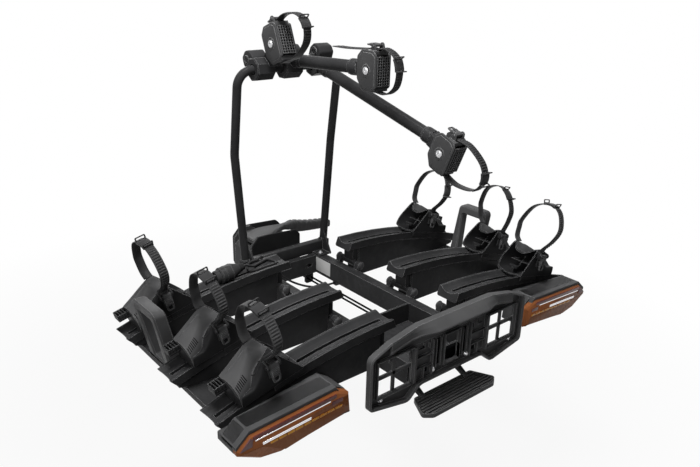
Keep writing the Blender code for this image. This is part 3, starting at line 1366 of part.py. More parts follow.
def hank_path():
    """Cable from the plug, folded once round on the tray, to the wing's hinge axis."""
    middle_y = TRAY_CENTRE_Y[0]
    angle = arc_angle(plug_place())
    along = PLUG_LENGTH / 2 + PLUG_COLLAR_LENGTH + SEAT_GAP
    centre_x, centre_z = on_tray(plug_place(), plug_height())
    toward = (math.cos(angle), math.sin(angle))
    exit_point = (-centre_x + along * toward[0], middle_y, centre_z + along * toward[1])
    after = CABLE_DIAMETER
    points = [exit_point, (exit_point[0] + after * toward[0], middle_y, exit_point[2] + after * toward[1])]
    left_x = -HANK_RUN_START_X
    right_x = -HANK_RUN_END_X
    radius = HANK_FOLD_RADIUS
    low = [(left_x - 0.008, 0.004), (left_x + 0.010, 0.012)]
    points += [(x, middle_y + y, tray_rest(x, y) + lift) for (x, y), lift in zip(low, (0.0065, 0.0015))]
    for step in range(12):
        turn = math.radians(90 - 180 * step / 11)
        x = right_x + radius * math.cos(turn)
        y = radius * math.sin(turn)
        points.append((x, middle_y + y, tray_rest(x, y)))
    for step in range(12):
        turn = math.radians(270 - 180 * step / 11)
        wide = radius + HANK_STEP * step / 11
        x = left_x + wide * math.cos(turn)
        y = wide * math.sin(turn)
        points.append((x, middle_y + y, tray_rest(x, y)))
    wide = radius + HANK_STEP
    lip = TRAY_HALF + CABLE_RADIUS
    drop = on_tray(-right_x, 0.0)[1] - HINGE_Z
    points += [
        (left_x + 0.024, middle_y + wide + 0.001, tray_rest(left_x + 0.024, wide)),
        (right_x - 0.006, middle_y + wide + 0.006, tray_rest(right_x, wide) + 0.0025),
        (right_x + 0.005, middle_y + lip + 0.0065, HINGE_Z + drop * 0.95),
        (right_x + 0.011, middle_y + lip + 0.0135, HINGE_Z + drop * 0.70),
        (right_x + 0.015, middle_y + lip + 0.0175, HINGE_Z + drop * 0.42),
        (-HINGE_X - 0.003, middle_y + lip + 0.023, HINGE_Z + drop * 0.17),
        (-HINGE_X, middle_y + LEAD_JOIN_Y - CABLE_DIAMETER, HINGE_Z),
        (-HINGE_X, middle_y + LEAD_JOIN_Y - SEAT_GAP / 2, HINGE_Z),
    ]
    return np.vstack((points[:1], smooth_path(points[1:-1], 2), points[-1:]))


def lead_path():
    """Cable from the wing's hinge axis over the left beam to the clip under the right one."""
    join_y = TRAY_CENTRE_Y[0] + LEAD_JOIN_Y + SEAT_GAP / 2
    over = BEAM_TOP_Z + CABLE_RADIUS + 2 * SEAT_GAP
    end_x = CLIP_FACE_X - SEAT_GAP
    points = [
        (-HINGE_X, join_y, HINGE_Z),
        (-HINGE_X, join_y + CABLE_DIAMETER, HINGE_Z),
        (-HINGE_X + 0.005, join_y + 0.0125, HINGE_Z - 0.001),
        (-0.121, join_y + 0.0145, over + 0.0015),
        (-0.108, join_y + 0.0115, over + 0.0005),
        (-0.093, join_y + 0.006, over - 0.001),
        (-0.070, join_y - 0.004, 0.018),
        (-0.040, join_y - 0.014, -0.006),
        (0.0, join_y - 0.026, -0.027),
        (0.040, join_y - 0.037, -0.0375),
        (0.075, CLIP_Y + 0.001, CLIP_Z + 0.0005),
        (end_x - CABLE_DIAMETER, CLIP_Y, CLIP_Z),
        (end_x, CLIP_Y, CLIP_Z),
    ]
    return np.vstack((points[:1], smooth_path(points[1:-1], 2), points[-1:]))


def print_least_gap(path):
    """Measure how near the folded cable comes to itself."""
    steps = np.linalg.norm(np.diff(path, axis=0), axis=1)
    along = np.concatenate(([0.0], np.cumsum(steps)))
    apart = np.linalg.norm(path[:, None] - path[None], axis=2) - CABLE_DIAMETER
    far = np.abs(along[:, None] - along[None]) > 5 * CABLE_DIAMETER
    print(f"least gap of the folded cable to itself: {1000 * apart[far].min():.2f} mm")


def build_coupling(metal, plastic, steel):
    """Coupling on the tow ball, the part's root."""
    place("coupling_housing", housing_mesh(), plastic)
    place("lever_pin", lever_pin_mesh(), steel)
    place("clamp_jaw", jaw_mesh(), metal)
    axis = (LEVER_PIVOT_X, 0.0, LEVER_PIVOT_Z)
    place("coupling_lever", lever_mesh(), plastic, pivot("lever_axis", axis), from_pivot(axis))


def build_platform(metal, plastic, steel):
    """Frame that tilts on the coupling."""
    axis = (0.0, TILT_Y, TILT_Z)
    tilt = pivot("tilt_axis", axis)
    home = from_pivot(axis)
    place("beam_right", right_beam_mesh(), metal, tilt, home)
    place("beam_left", mirrored(beam_mesh()), metal, tilt, home)
    place("front_channel", front_channel_mesh(), metal, tilt, home)
    place("rear_bracket", rear_bracket_mesh(), metal, tilt, home)
    place("hoop", hoop_mesh(), metal, tilt, home)
    place("plate_holder", plate_holder_mesh(), plastic, tilt, home)
    place("tilt_pin", tilt_pin_mesh(), steel, tilt, home)
    place("release_rods", release_rods_mesh(), steel, tilt, home)
    pedal_axis = (0.0, PEDAL_AXLE_Y, PEDAL_AXLE_Z)
    pedal = pivot("pedal_axis", from_pivot(axis, pedal_axis), tilt)
    place("pedal", pedal_mesh(), plastic, pedal, from_pivot(pedal_axis))
    return tilt, axis


def build_holder(side, index, wing, wing_axis, shapes, finishes):
    """One wheel holder on its tray's arc, with its strap and ratchet lever."""
    name = f"{side}_{index + 1}"
    sign = 1 if side == "right" else -1
    angle = arc_angle(HOLDER_INNER_X[side][index] + HOLDER_LENGTH / 2)
    centre = (sign * TRAY_APEX_X, TRAY_CENTRE_Y[index], ARC_CENTRE_Z)
    slide = pivot(f"{name}_arc", from_pivot(wing_axis, centre), wing, turn_y=sign * angle)
    foot = (-sign * HOLDER_LENGTH / 2, 0.0, TRAY_RADIUS)
    place(f"wheel_holder_{name}", shapes["holder"], finishes["plastic"], slide, foot)
    place(f"wheel_strap_{name}", shapes["straps"][index], finishes["rubber"], slide, foot)
    along, y, height = wheel_ratchet_place()
    axis = (foot[0] + sign * along, y, foot[2] + height)
    hinge = pivot(f"{name}_ratchet_axis", axis, slide, turn_x=math.radians(90))
    place(f"ratchet_lever_{name}", shapes["lever"], finishes["plastic"], hinge)


def build_wing(side, tilt, tilt_axis, finishes):
    """Folding wing: three trays on a bar, handle, lamp and wheel holders."""
    sign = 1 if side == "right" else -1
    axis = (sign * HINGE_X, 0.0, HINGE_Z)
    wing = pivot(f"wing_{side}_axis", from_pivot(tilt_axis, axis), tilt)
    home = from_pivot(axis)

    def sided(mesh):
        return mesh if side == "right" else mirrored(mesh)

    tray = sided(tray_mesh())
    shapes = {
        "holder": sided(holder_mesh()),
        "straps": [sided(wheel_strap_mesh(loop)) for loop in WHEEL_LOOPS[side]],
        "lever": ratchet_lever_mesh(),
    }
    for index, centre_y in enumerate(TRAY_CENTRE_Y):
        name = f"{side}_{index + 1}"
        place(f"tray_{name}", tray, finishes["metal"], wing, from_pivot(axis, (0.0, centre_y, 0.0)))
        build_holder(side, index, wing, axis, shapes, finishes)
    place(f"outer_bar_{side}", sided(outer_bar_mesh()), finishes["metal"], wing, home)
    place(f"handle_{side}", sided(handle_mesh()), finishes["plastic"], wing, home)
    place(f"lamp_housing_{side}", sided(lamp_housing_mesh()), finishes["plastic"], wing, home)
    place(f"lamp_lens_{side}", sided(lens_mesh()), finishes["lens"], wing, home)
    return wing, axis


def build_cable(wing, wing_axis, tilt, tilt_axis, finishes):
    """Plug, folded cable on the left wing, and the lead across the platform."""
    angle = arc_angle(plug_place())
    centre = (-TRAY_APEX_X, TRAY_CENTRE_Y[0], ARC_CENTRE_Z)
    seat = pivot("plug_seat", from_pivot(wing_axis, centre), wing, turn_y=-angle)
    place("plug", plug_mesh(), finishes["rubber"], seat, (0.0, 0.0, TRAY_RADIUS + plug_height()))
    path = hank_path()
    print_least_gap(path)
    place(
        "cable_hank", cable_curve("cable_hank", path, 1), finishes["rubber"], wing,
        from_pivot(wing_axis))
    place(
        "cable_lead", cable_curve("cable_lead", lead_path(), 2), finishes["rubber"], tilt,
        from_pivot(tilt_axis))


def build_arm(index, tilt, tilt_axis, finishes):
    """One bicycle arm on the hoop's bar with its head, strap and ratchet lever."""
    name = str(index + 1)
    elevation = math.radians(ARM_ELEVATION[index])
    pitch = math.radians(HEAD_PITCH[index])
    bar_point = (ARM_X[index], HOOP_BAR_Y, HOOP_BAR_Z)
    bar = pivot(f"arm_{name}_axis", from_pivot(tilt_axis, bar_point), tilt, turn_x=-elevation)
    reach = ARM_REACH[index]
    rise = ARM_HEAD_RISE[index]
    side = ARM_HEAD_SIDE[index]
    place(f"arm_{name}", arm_mesh(reach, rise, side, ARM_TUBE_RISE[index]), finishes["metal"], bar)
    bolt = pivot(f"head_{name}_axis", (side, -reach, rise), bar, turn_x=elevation - pitch)
    place(f"head_{name}", head_mesh(), finishes["plastic"], bolt)
    strap = head_strap_mesh(HEAD_LOOP_DEPTH[index], HEAD_TAIL_LENGTH[index])
    place(f"head_strap_{name}", strap, finishes["rubber"], bolt)
    y, z = head_ratchet_place()
    lever = pivot(f"head_{name}_ratchet_axis", (0.0, y, z), bolt, turn_x=0.0)
    flip = Matrix.Rotation(math.pi, 4, "Z")
    blade = ratchet_lever_mesh()
    blade.transform(flip)
    place(f"head_lever_{name}", blade, finishes["plastic"], lever)


def main():
    """Build every piece of the rack."""
    clear_scene()
    finishes = {
        "metal": material("powder_black", (0.018, 0.018, 0.019), 0.48, 0.0),
        "plastic": material("charcoal_plastic", (0.030, 0.030, 0.032), 0.62, 0.0),
        "rubber": material("strap_black", (0.022, 0.022, 0.023), 0.70, 0.0),
        "steel": material("zinc_steel", (0.62, 0.62, 0.63), 0.35, 1.0),
        "lens": material("amber_lens", (0.42, 0.13, 0.035), 0.15, 0.0),
    }
    build_coupling(finishes["metal"], finishes["plastic"], finishes["steel"])
    tilt, tilt_axis = build_platform(finishes["metal"], finishes["plastic"], finishes["steel"])
    build_wing("right", tilt, tilt_axis, finishes)
    left, left_axis = build_wing("left", tilt, tilt_axis, finishes)
    build_cable(left, left_axis, tilt, tilt_axis, finishes)
    for index in range(len(ARM_X)):
        build_arm(index, tilt, tilt_axis, finishes)


main()
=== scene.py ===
"""Looks of a folding platform rack for three bicycles, clamped on a tow ball.

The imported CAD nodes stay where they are. Surfaces worked out as whole arrays stand
in place of the nodes whose form is soft, rounded or finely detailed, and fittings
are added on the others. Metres, +X to the right as seen from behind the car,
+Y towards the car, +Z up, origin at the centre of the tow ball.
"""

import logging
import math
from dataclasses import dataclass, field
from enum import Enum
from functools import cache, reduce
from operator import add

import bmesh
import bpy
import numpy as np
from mathutils import Matrix


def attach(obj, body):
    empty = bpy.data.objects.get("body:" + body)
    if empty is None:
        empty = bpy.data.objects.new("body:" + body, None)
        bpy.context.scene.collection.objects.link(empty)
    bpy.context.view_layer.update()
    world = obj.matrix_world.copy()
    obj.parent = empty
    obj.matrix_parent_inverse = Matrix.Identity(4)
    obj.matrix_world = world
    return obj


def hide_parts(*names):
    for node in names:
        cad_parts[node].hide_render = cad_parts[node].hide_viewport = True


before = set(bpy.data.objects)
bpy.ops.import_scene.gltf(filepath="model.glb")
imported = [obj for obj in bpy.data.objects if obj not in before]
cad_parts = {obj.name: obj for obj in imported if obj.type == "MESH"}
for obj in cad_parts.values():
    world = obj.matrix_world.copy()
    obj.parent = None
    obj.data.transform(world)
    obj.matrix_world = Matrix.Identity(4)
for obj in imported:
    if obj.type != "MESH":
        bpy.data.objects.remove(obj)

Array = np.ndarray
Rows = tuple[tuple[float, float, float], ...]
Point = tuple[float, float, float]
Colour = tuple[float, float, float]
Socket = bpy.types.NodeSocket

ORIGIN: Point = (0.0, 0.0, 0.0)
ALONG_X: Point = (1.0, 0.0, 0.0)
ALONG_Y: Point = (0.0, 1.0, 0.0)
ALONG_Z: Point = (0.0, 0.0, 1.0)
TO_LEFT: Point = (-1.0, 1.0, 1.0)  # factors that mirror a point to the left side
HINGE = (0.140, 0.0395)  # place (x, z) of the right wing's hinge axis

LOG = logging.getLogger("rack")


class Slot(Enum):
    """The record's material slots."""

    METAL = "metal"
    PLASTIC = "plastic"
    RUBBER = "rubber"
    STEEL = "steel"
    LENS = "lens"


class Side(Enum):
    """The two folding wings, as seen from behind the car."""

    LEFT = "left"
    RIGHT = "right"

    @property
    def sign(self) -> int:
        """Direction of this side along X."""
        return 1 if self is Side.RIGHT else -1


class Grain(Enum):
    """Relief of a finish."""

    PEEL = "fine orange peel of powder coat"
    MOULD = "pebbled grain of a moulding"
    BRUSHED = "fine lines of drawn metal"
    SMOOTH = "polished"


@dataclass
class Surface:
    """Points and faces of a surface.

    Attributes:
        points: Coordinates, one row for each point.
        quads: Point numbers of the four-sided faces.
        caps: Point numbers of the faces that close the ends.
    """

    points: Array
    quads: Array
    caps: list[Array] = field(default_factory=list)

    def __add__(self, other: "Surface") -> "Surface":
        """Both surfaces as one.

        Args:
            other: The surface that is added.

        Returns:
            The surface of both.
        """
        shift = len(self.points)
        caps = self.caps + [cap + shift for cap in other.caps]
        points = np.vstack((self.points, other.points))
        return Surface(points, np.vstack((self.quads, other.quads + shift)), caps)

    def at(self, place: "Place") -> "Surface":
        """This surface carried to a place."""
        return Surface(place.carry(self.points), self.quads, self.caps)


@dataclass(frozen=True)
class Place:
    """Where a frame of its own stands in the part's frame.

    Attributes:
        origin: The frame's origin.
        turn: Rows of its rotation matrix.
        mirror: Whether the result is mirrored to the left side.
    """

    origin: Point = ORIGIN
    turn: Rows = (ALONG_X, ALONG_Y, ALONG_Z)
    mirror: bool = False

    def carry(self, points: Array) -> Array:
        """Points of this frame in the part's frame.

        Args:
            points: Coordinates in this frame, in the last axis.

        Returns:
            The turned, moved and mirrored coordinates.
        """
        moved = np.asarray(points, float) @ np.array(self.turn).T + np.array(self.origin)
        return moved * TO_LEFT if self.mirror else moved


BOTH_SIDES = (Place(), Place(mirror=True))


def turn_x(angle: float) -> Rows:
    """Rotation about X by an angle in radians."""
    c, s = math.cos(angle), math.sin(angle)
    return (ALONG_X, (0.0, c, -s), (0.0, s, c))


def turn_y(angle: float) -> Rows:
    """Rotation about Y by an angle in radians."""
    c, s = math.cos(angle), math.sin(angle)
    return ((c, 0.0, s), ALONG_Y, (-s, 0.0, c))


def grid(points: Array, around: bool = True, along: bool = False) -> Surface:
    """Skin of a grid of points: row i meets row i + 1, column j meets column j + 1.

    Args:
        points: Coordinates of shape (rows, columns, 3).
        around: Whether the last column meets the first one.
        along: Whether the last row meets the first one.

    Returns:
        The surface, with both end rows capped where it is closed around only.
    """
    rows, columns, _ = points.shape
    number = np.arange(rows * columns).reshape(rows, columns)
    wrapped = np.vstack((number, number[:1])) if along else number
    wrapped = np.hstack((wrapped, wrapped[:, :1])) if around else wrapped
    quads = np.stack(
        (wrapped[:-1, :-1], wrapped[:-1, 1:], wrapped[1:, 1:], wrapped[1:, :-1]), axis=-1)
    caps = [number[0, ::-1], number[-1]] if around and not along else []
    return Surface(points.reshape(-1, 3), quads.reshape(-1, 4), caps)


def join(surfaces: list[Surface]) -> Surface:
    """Several surfaces as one."""
    return reduce(add, surfaces)


def lift(outline: Array, axis: str, level: Array) -> Array:
    """Outline points at a level along an axis.

    Args:
        outline: Points (u, v) in the last axis: (y, z) for X, (x, z) for Y, (x, y) for Z.
        axis: The axis that the outline is square to.
        level: Distances along the axis, of any shape that fits the points.

    Returns:
        Coordinates in the last axis.
    """
    u, v = outline[..., 0], outline[..., 1]
    level = np.broadcast_to(level, u.shape)
    order = {"X": (level, u, v), "Y": (u, level, v), "Z": (u, v, level)}[axis]
    return np.stack(order, axis=-1)


def round_corners(corners: list | Array, reach: float | Array, steps: int = 4) -> Array:
    """Closed outline whose corners are eased by arcs.

    Args:
        corners: Corner points in order.
        reach: Distance from a corner to its arc's ends on the edges, one or one a corner.
        steps: Parts of each arc.

    Returns:
        The eased outline.
    """
    corner = np.asarray(corners, float)
    back = np.roll(corner, 1, axis=0) - corner
    ahead = np.roll(corner, -1, axis=0) - corner
    back_size = np.linalg.norm(back, axis=1, keepdims=True)
    ahead_size = np.linalg.norm(ahead, axis=1, keepdims=True)
    wanted = np.broadcast_to(np.asarray(reach, float).reshape(-1, 1), back_size.shape)
    start = corner + back / back_size * np.minimum(wanted, 0.47 * back_size)
    end = corner + ahead / ahead_size * np.minimum(wanted, 0.47 * ahead_size)
    return bends(start, corner, end, steps).reshape(-1, corner.shape[1])


def bends(start: Array, corner: Array, end: Array, steps: int) -> Array:
    """Circle arcs that ease corners: the rational parabola of start, corner and end.

    The corner's weight is the cosine of half the angle that the path turns by.

    Args:
        start: First point of each arc.
        corner: The corner that each arc eases.
        end: Last point of each arc.
        steps: Parts of each arc.

    Returns:
        Points of shape (corners, steps + 1, axes).
    """
    into = corner - start
    out = end - corner
    size = np.linalg.norm(into, axis=1) * np.linalg.norm(out, axis=1)
    cosine = np.sum(into * out, axis=1) / np.maximum(size, 1e-12)
    weight = np.sqrt(np.clip((1 + cosine) / 2, 0.0, 1.0))[:, None, None]
    t = np.linspace(0.0, 1.0, steps + 1)[None, :, None]
    first, middle, last = (1 - t) ** 2, 2 * t * (1 - t) * weight, t ** 2
    total = first + middle + last
    return (first * start[:, None] + middle * corner[:, None] + last * end[:, None]) / total


def round_path(points: list | Array, radii: list[float], steps: int = 10) -> Array:
    """Open path whose inner corners are eased by circle arcs.

    Args:
        points: Corners, the two ends included.
        radii: Bend radius of each inner corner.
        steps: Parts of each arc.

    Returns:
        Points of the path.
    """
    route = np.asarray(points, float)
    corner = route[1:-1]
    back = route[:-2] - corner
    ahead = route[2:] - corner
    back /= np.linalg.norm(back, axis=1, keepdims=True)
    ahead /= np.linalg.norm(ahead, axis=1, keepdims=True)
    half = (math.pi - np.arccos(np.clip(np.sum(back * ahead, axis=1), -1, 1))) / 2
    reach = (np.asarray(radii, float) * np.tan(half))[:, None]
    arcs = bends(corner + back * reach, corner, corner + ahead * reach, steps)
    return np.vstack((route[:1], arcs.reshape(-1, route.shape[1]), route[-1:]))


def drawn_in(outline: Array, distance: float | Array) -> Array:
    """Outline moved inward along the mean of its edges' normals.

    Args:
        outline: Closed outline of shape (points, 2), or several of them.
        distance: How far each edge moves in.

    Returns:
        The smaller outline.
    """
    ahead = np.roll(outline, -1, axis=-2)
    edge = ahead - outline
    area = np.sum(outline[..., 0] * ahead[..., 1] - outline[..., 1] * ahead[..., 0], axis=-1)
    normal = np.stack((edge[..., 1], -edge[..., 0]), axis=-1) * np.sign(area)[..., None, None]
    normal /= np.maximum(np.linalg.norm(normal, axis=-1, keepdims=True), 1e-9)
    before = np.roll(normal, 1, axis=-2)
    share = 1 + np.sum(before * normal, axis=-1, keepdims=True)
    return outline - (before + normal) / np.maximum(share, 0.4) * distance


def prism(outline: list | Array, axis: str, low: float, high: float, bevel: float = 0.001,
          steps: int = 3) -> Surface:
    """Outline carried along an axis, its two rims eased by quarter circles.

    Args:
        outline: Closed outline.
        axis: Axis of the prism.
        low: First level.
        high: Last level.
        bevel: Radius of the rims.
        steps: Parts of each quarter circle.

    Returns:
        The closed surface.
    """
    flat = np.asarray(outline, float)
    angle = np.linspace(0.0, math.pi / 2, steps + 1)
    sink = bevel * (1 - np.sin(angle))
    rise = bevel * (1 - np.cos(angle))
    insets = np.concatenate((sink, sink[::-1]))
    levels = np.concatenate((low + rise, high - rise[::-1]))
    unit = flat - drawn_in(flat, 1.0)
    loops = flat[None] - insets[:, None, None] * unit[None]
    return grid(lift(loops, axis, levels[:, None]))


def oblong(u0: float, v0: float, u1: float, v1: float) -> list[tuple[float, float]]:
    """Corners of the rectangle between two points (u, v)."""
    return [(u0, v0), (u1, v0), (u1, v1), (u0, v1)]


def block(low: Point, high: Point, bevel: float = 0.001, corner: float = 0.001) -> Surface:
    """Eased block between two corners."""
    outline = round_corners(oblong(*low[:2], *high[:2]), corner, 3)
    return prism(outline, "Z", low[2], high[2], bevel)


def ring(outer: Array, inner: Array, axis: str, low: float, high: float, bevel: float) -> Surface:
    """Closed band between two outlines of equal count, with eased rims.

    Its section runs round the corners outer low, outer high, inner high and inner low.

    Args:
        outer: Outer outline.
        inner: Inner outline, point for point.
        axis: Axis of the band.
        low: First level.
        high: Last level.
        bevel: Size of the rims.

    Returns:
        The surface, closed both ways.
    """
    small = drawn_in(outer, bevel)
    large = drawn_in(inner, -bevel)
    loops = np.stack((outer, outer, small, large, inner, inner, large, small))
    levels = np.array((low + bevel, high - bevel, high, high, high - bevel, low + bevel, low, low))
    return grid(lift(loops, axis, levels[:, None]), along=True)


def smooth_path(points: list | Array, steps: int, closed: bool = False) -> Array:
    """Curve through route points: a cubic between each two.

    Its slope at a point is half the step from the point before to the point after.

    Args:
        points: Route points.
        steps: Parts of each stretch.
        closed: Whether the route comes back to its start.

    Returns:
        Points on the curve, the last one included where it is open.
    """
    route = np.asarray(points, float)
    if closed:
        ends = np.vstack((route[-1:], route, route[:2]))
    else:
        ends = np.vstack((2 * route[0] - route[1], route, 2 * route[-1] - route[-2]))
    a, b, c, d = (ends[k:len(ends) - 3 + k, None] for k in range(4))
    t = (np.arange(steps) / steps)[None, :, None]
    bend = 2 * a - 5 * b + 4 * c - d
    twist = 3 * b - a - 3 * c + d
    curve = 0.5 * (2 * b + (c - a) * t + bend * t * t + twist * t ** 3)
    curve = curve.reshape(-1, route.shape[1])
    return curve if closed else np.vstack((curve, route[-1:]))


def evenly(path: Array, spacing: float) -> tuple[Array, Array]:
    """Path with points at an even spacing.

    Args:
        path: Points of a path.
        spacing: Distance wanted between points.

    Returns:
        The points, and each one's distance from the start.
    """
    along = np.concatenate(([0.0], np.cumsum(np.linalg.norm(np.diff(path, axis=0), axis=1))))
    at = np.linspace(0.0, along[-1], max(2, round(along[-1] / spacing) + 1))
    return np.stack([np.interp(at, along, column) for column in path.T], axis=1), at


def directions(path: Array, closed: bool = False) -> Array:
    """Unit tangents of a path: the step between a point's neighbours over its length.

    Args:
        path: Points of the path.
        closed: Whether it comes back to its start.

    Returns:
        One unit vector for each point.
    """
    if closed:
        slope = np.roll(path, -1, axis=0) - np.roll(path, 1, axis=0)
    else:
        slope = np.gradient(path, axis=0)
    return slope / np.linalg.norm(slope, axis=1, keepdims=True)


def sweep(path: Array, across: Point | Array, profile: Array, closed: bool = False) -> Surface:
    """Profile carried along a path: point + across * u + (tangent x across) * v.

    Args:
        path: Points of the path.
        across: Direction of u, the same all along or one for each point.
        profile: Closed profile (u, v), or one profile for each point.
        closed: Whether the path comes back to its start.

    Returns:
        The closed surface.
    """
    tangent = directions(path, closed)
    wide = np.broadcast_to(np.asarray(across, float), path.shape)
    out = np.cross(tangent, wide)
    out /= np.linalg.norm(out, axis=1, keepdims=True)
    flat = np.broadcast_to(profile, (len(path), *np.shape(profile)[-2:]))
    points = path[:, None] + wide[:, None] * flat[..., :1] + out[:, None] * flat[..., 1:]
    return grid(points, along=closed)


def spokes(angle: Array) -> Array:
    """Unit vectors at angles from the first of two axes: cosine and sine."""
    return np.stack((np.cos(angle), np.sin(angle)), axis=1)


def circle(radius: float, sides: int) -> Array:
    """Round outline about the origin."""
    return radius * spokes(np.linspace(0.0, math.tau, sides, endpoint=False))


def tube(path: Array, radius: float | Array, across: Point | Array, sides: int = 20,
         closed: bool = False) -> Surface:
    """Round bar along a path, square to it.

    Args:
        path: Points of the path.
        radius: Radius, the same all along or one for each point.
        across: A direction that is never along the path.
        sides: Faces around.
        closed: Whether the path comes back to its start.

    Returns:
        The closed surface.
    """
    tangent = directions(path, closed)
    reference = np.broadcast_to(np.asarray(across, float), path.shape)
    wide = reference - tangent * np.sum(reference * tangent, axis=1, keepdims=True)
    wide /= np.linalg.norm(wide, axis=1, keepdims=True)
    size = np.broadcast_to(np.asarray(radius, float).reshape(-1, 1, 1), (len(path), 1, 1))
    return sweep(path, wide, circle(1.0, sides)[None] * size, closed)


def turned(profile: list[tuple[float, float]], centre: Point, axis: Point,
           sides: int = 24) -> Surface:
    """Profile of (along, radius) pairs spun about an axis.

    Args:
        profile: Distances along the axis and radii.
        centre: Point on the axis where the distance is nought.
        axis: Direction of the axis.
        sides: Faces around.

    Returns:
        The closed surface.
    """
    ahead = np.asarray(axis, float) / np.linalg.norm(axis)
    helper = ALONG_Z if abs(ahead[2]) < 0.9 else ALONG_Y
    wide = np.cross(ahead, helper)
    wide /= np.linalg.norm(wide)
    high = np.cross(ahead, wide)
    along, radius = np.array(profile).T
    flat = circle(1.0, sides)
    around = flat[:, :1] * wide + flat[:, 1:] * high
    spine = np.asarray(centre) + along[:, None, None] * ahead
    return grid(spine + radius[:, None, None] * around[None])


def screw(centre: Point, axis: Point, radius: float, height: float) -> Surface:
    """Domed screw head on a washer, with a round socket sunk in its middle.

    Args:
        centre: Middle of the washer's foot.
        axis: Direction that the head points in.
        radius: Radius of the head.
        height: Height of the head.

    Returns:
        The closed surface.
    """
    return turned([
        (0.0, radius * 1.45), (height * 0.22, radius * 1.45), (height * 0.30, radius * 1.38),
        (height * 0.32, radius * 1.02), (height * 0.72, radius), (height * 0.94, radius * 0.84),
        (height, radius * 0.62), (height * 0.98, radius * 0.44), (height * 0.45, radius * 0.40),
    ], centre, axis)


@dataclass
class Recipe:
    """A node material in the making.

    Attributes:
        name: Name of the material.
    """

    name: str

    def __post_init__(self) -> None:
        """Start from a principled shader and the object's own coordinates."""
        self.material = bpy.data.materials.new(self.name)
        self.material.use_nodes = True
        self.tree = self.material.node_tree
        self.shader = self.tree.nodes["Principled BSDF"]
        self.where = self.tree.nodes.new("ShaderNodeTexCoord").outputs["Object"]

    def feed(self, socket: Socket, value: object) -> None:
        """Set an input, or link it where what goes in is a socket.

        Args:
            socket: The input.
            value: A plain value or another node's output.
        """
        if isinstance(value, Socket):
            self.tree.links.new(value, socket)
        else:
            socket.default_value = value

    def put(self, socket: str, value: object) -> None:
        """Set or link one of the shader's inputs."""
        self.feed(self.shader.inputs[socket], value)

    def node(self, kind: str, settings: dict | None = None, *first: object,
             **links: object) -> bpy.types.Node:
        """Add a node.

        Args:
            kind: Type of the node.
            settings: Attributes to set.
            *first: What goes into the first inputs, in order.
            **links: Inputs by name, with spaces as underscores, and what goes in.

        Returns:
            The node.
        """
        made = self.tree.nodes.new(kind)
        for key, value in (settings or {}).items():
            setattr(made, key, value)
        for socket, value in zip(made.inputs, first):
            self.feed(socket, value)
        for key, value in links.items():
            self.feed(made.inputs[key.replace("_", " ")], value)
        return made

    def stretched(self, scale: Point) -> Socket:
        """The object's coordinates, scaled along each axis."""
        return self.node("ShaderNodeMapping", Vector=self.where, Scale=scale).outputs[0]

    def noise(self, scale: float, detail: float = 3.0,
              where: Socket | None = None) -> Socket:
        """Cloudy value from 0 to 1."""
        inputs = dict(Vector=where or self.where, Scale=scale, Detail=detail)
        return self.node("ShaderNodeTexNoise", **inputs).outputs["Fac"]

    def cells(self, scale: float) -> Socket:
        """Distance to the middle of the nearest cell."""
        made = self.node("ShaderNodeTexVoronoi", Vector=self.where, Scale=scale)
        return made.outputs["Distance"]

    def span(self, value: Socket, source: tuple[float, float],
             target: tuple[float, float]) -> Socket:
        """Value carried from one range to another and held inside it."""
        ends = dict(From_Min=source[0], From_Max=source[1], To_Min=target[0], To_Max=target[1])
        return self.node("ShaderNodeMapRange", Value=value, **ends).outputs["Result"]

    def times(self, first: Socket, second: Socket) -> Socket:
        """Product of two values."""
        return self.node("ShaderNodeMath", {"operation": "MULTIPLY"}, first, second).outputs[0]

    def mixed(self, factor: Socket, first: object, second: object) -> Socket:
        """Colour between two colours, each a colour or a socket.

        Args:
            factor: Share of the second colour.
            first: First colour.
            second: Second colour.

        Returns:
            The socket of the colour.
        """
        made = self.node("ShaderNodeMix", {"data_type": "RGBA"}, factor)
        for socket, value in ((made.inputs[6], first), (made.inputs[7], second)):
            self.feed(socket, value if isinstance(value, Socket) else (*value, 1.0))
        return made.outputs[2]

    def edges(self, radius: float) -> tuple[Socket, Socket]:
        """Normals eased across edges, and how much they differ from the face's own.

        Args:
            radius: Reach of the easing.

        Returns:
            The eased normal, and a value from 0 on a face to 1 on a sharp edge.
        """
        eased = self.node("ShaderNodeBevel", {"samples": 4}, Radius=radius).outputs[0]
        face = self.tree.nodes.new("ShaderNodeNewGeometry").outputs["Normal"]
        dot = self.node("ShaderNodeVectorMath", {"operation": "DOT_PRODUCT"}, eased, face)
        return eased, self.span(dot.outputs["Value"], (0.985, 0.80), (0.0, 1.0))


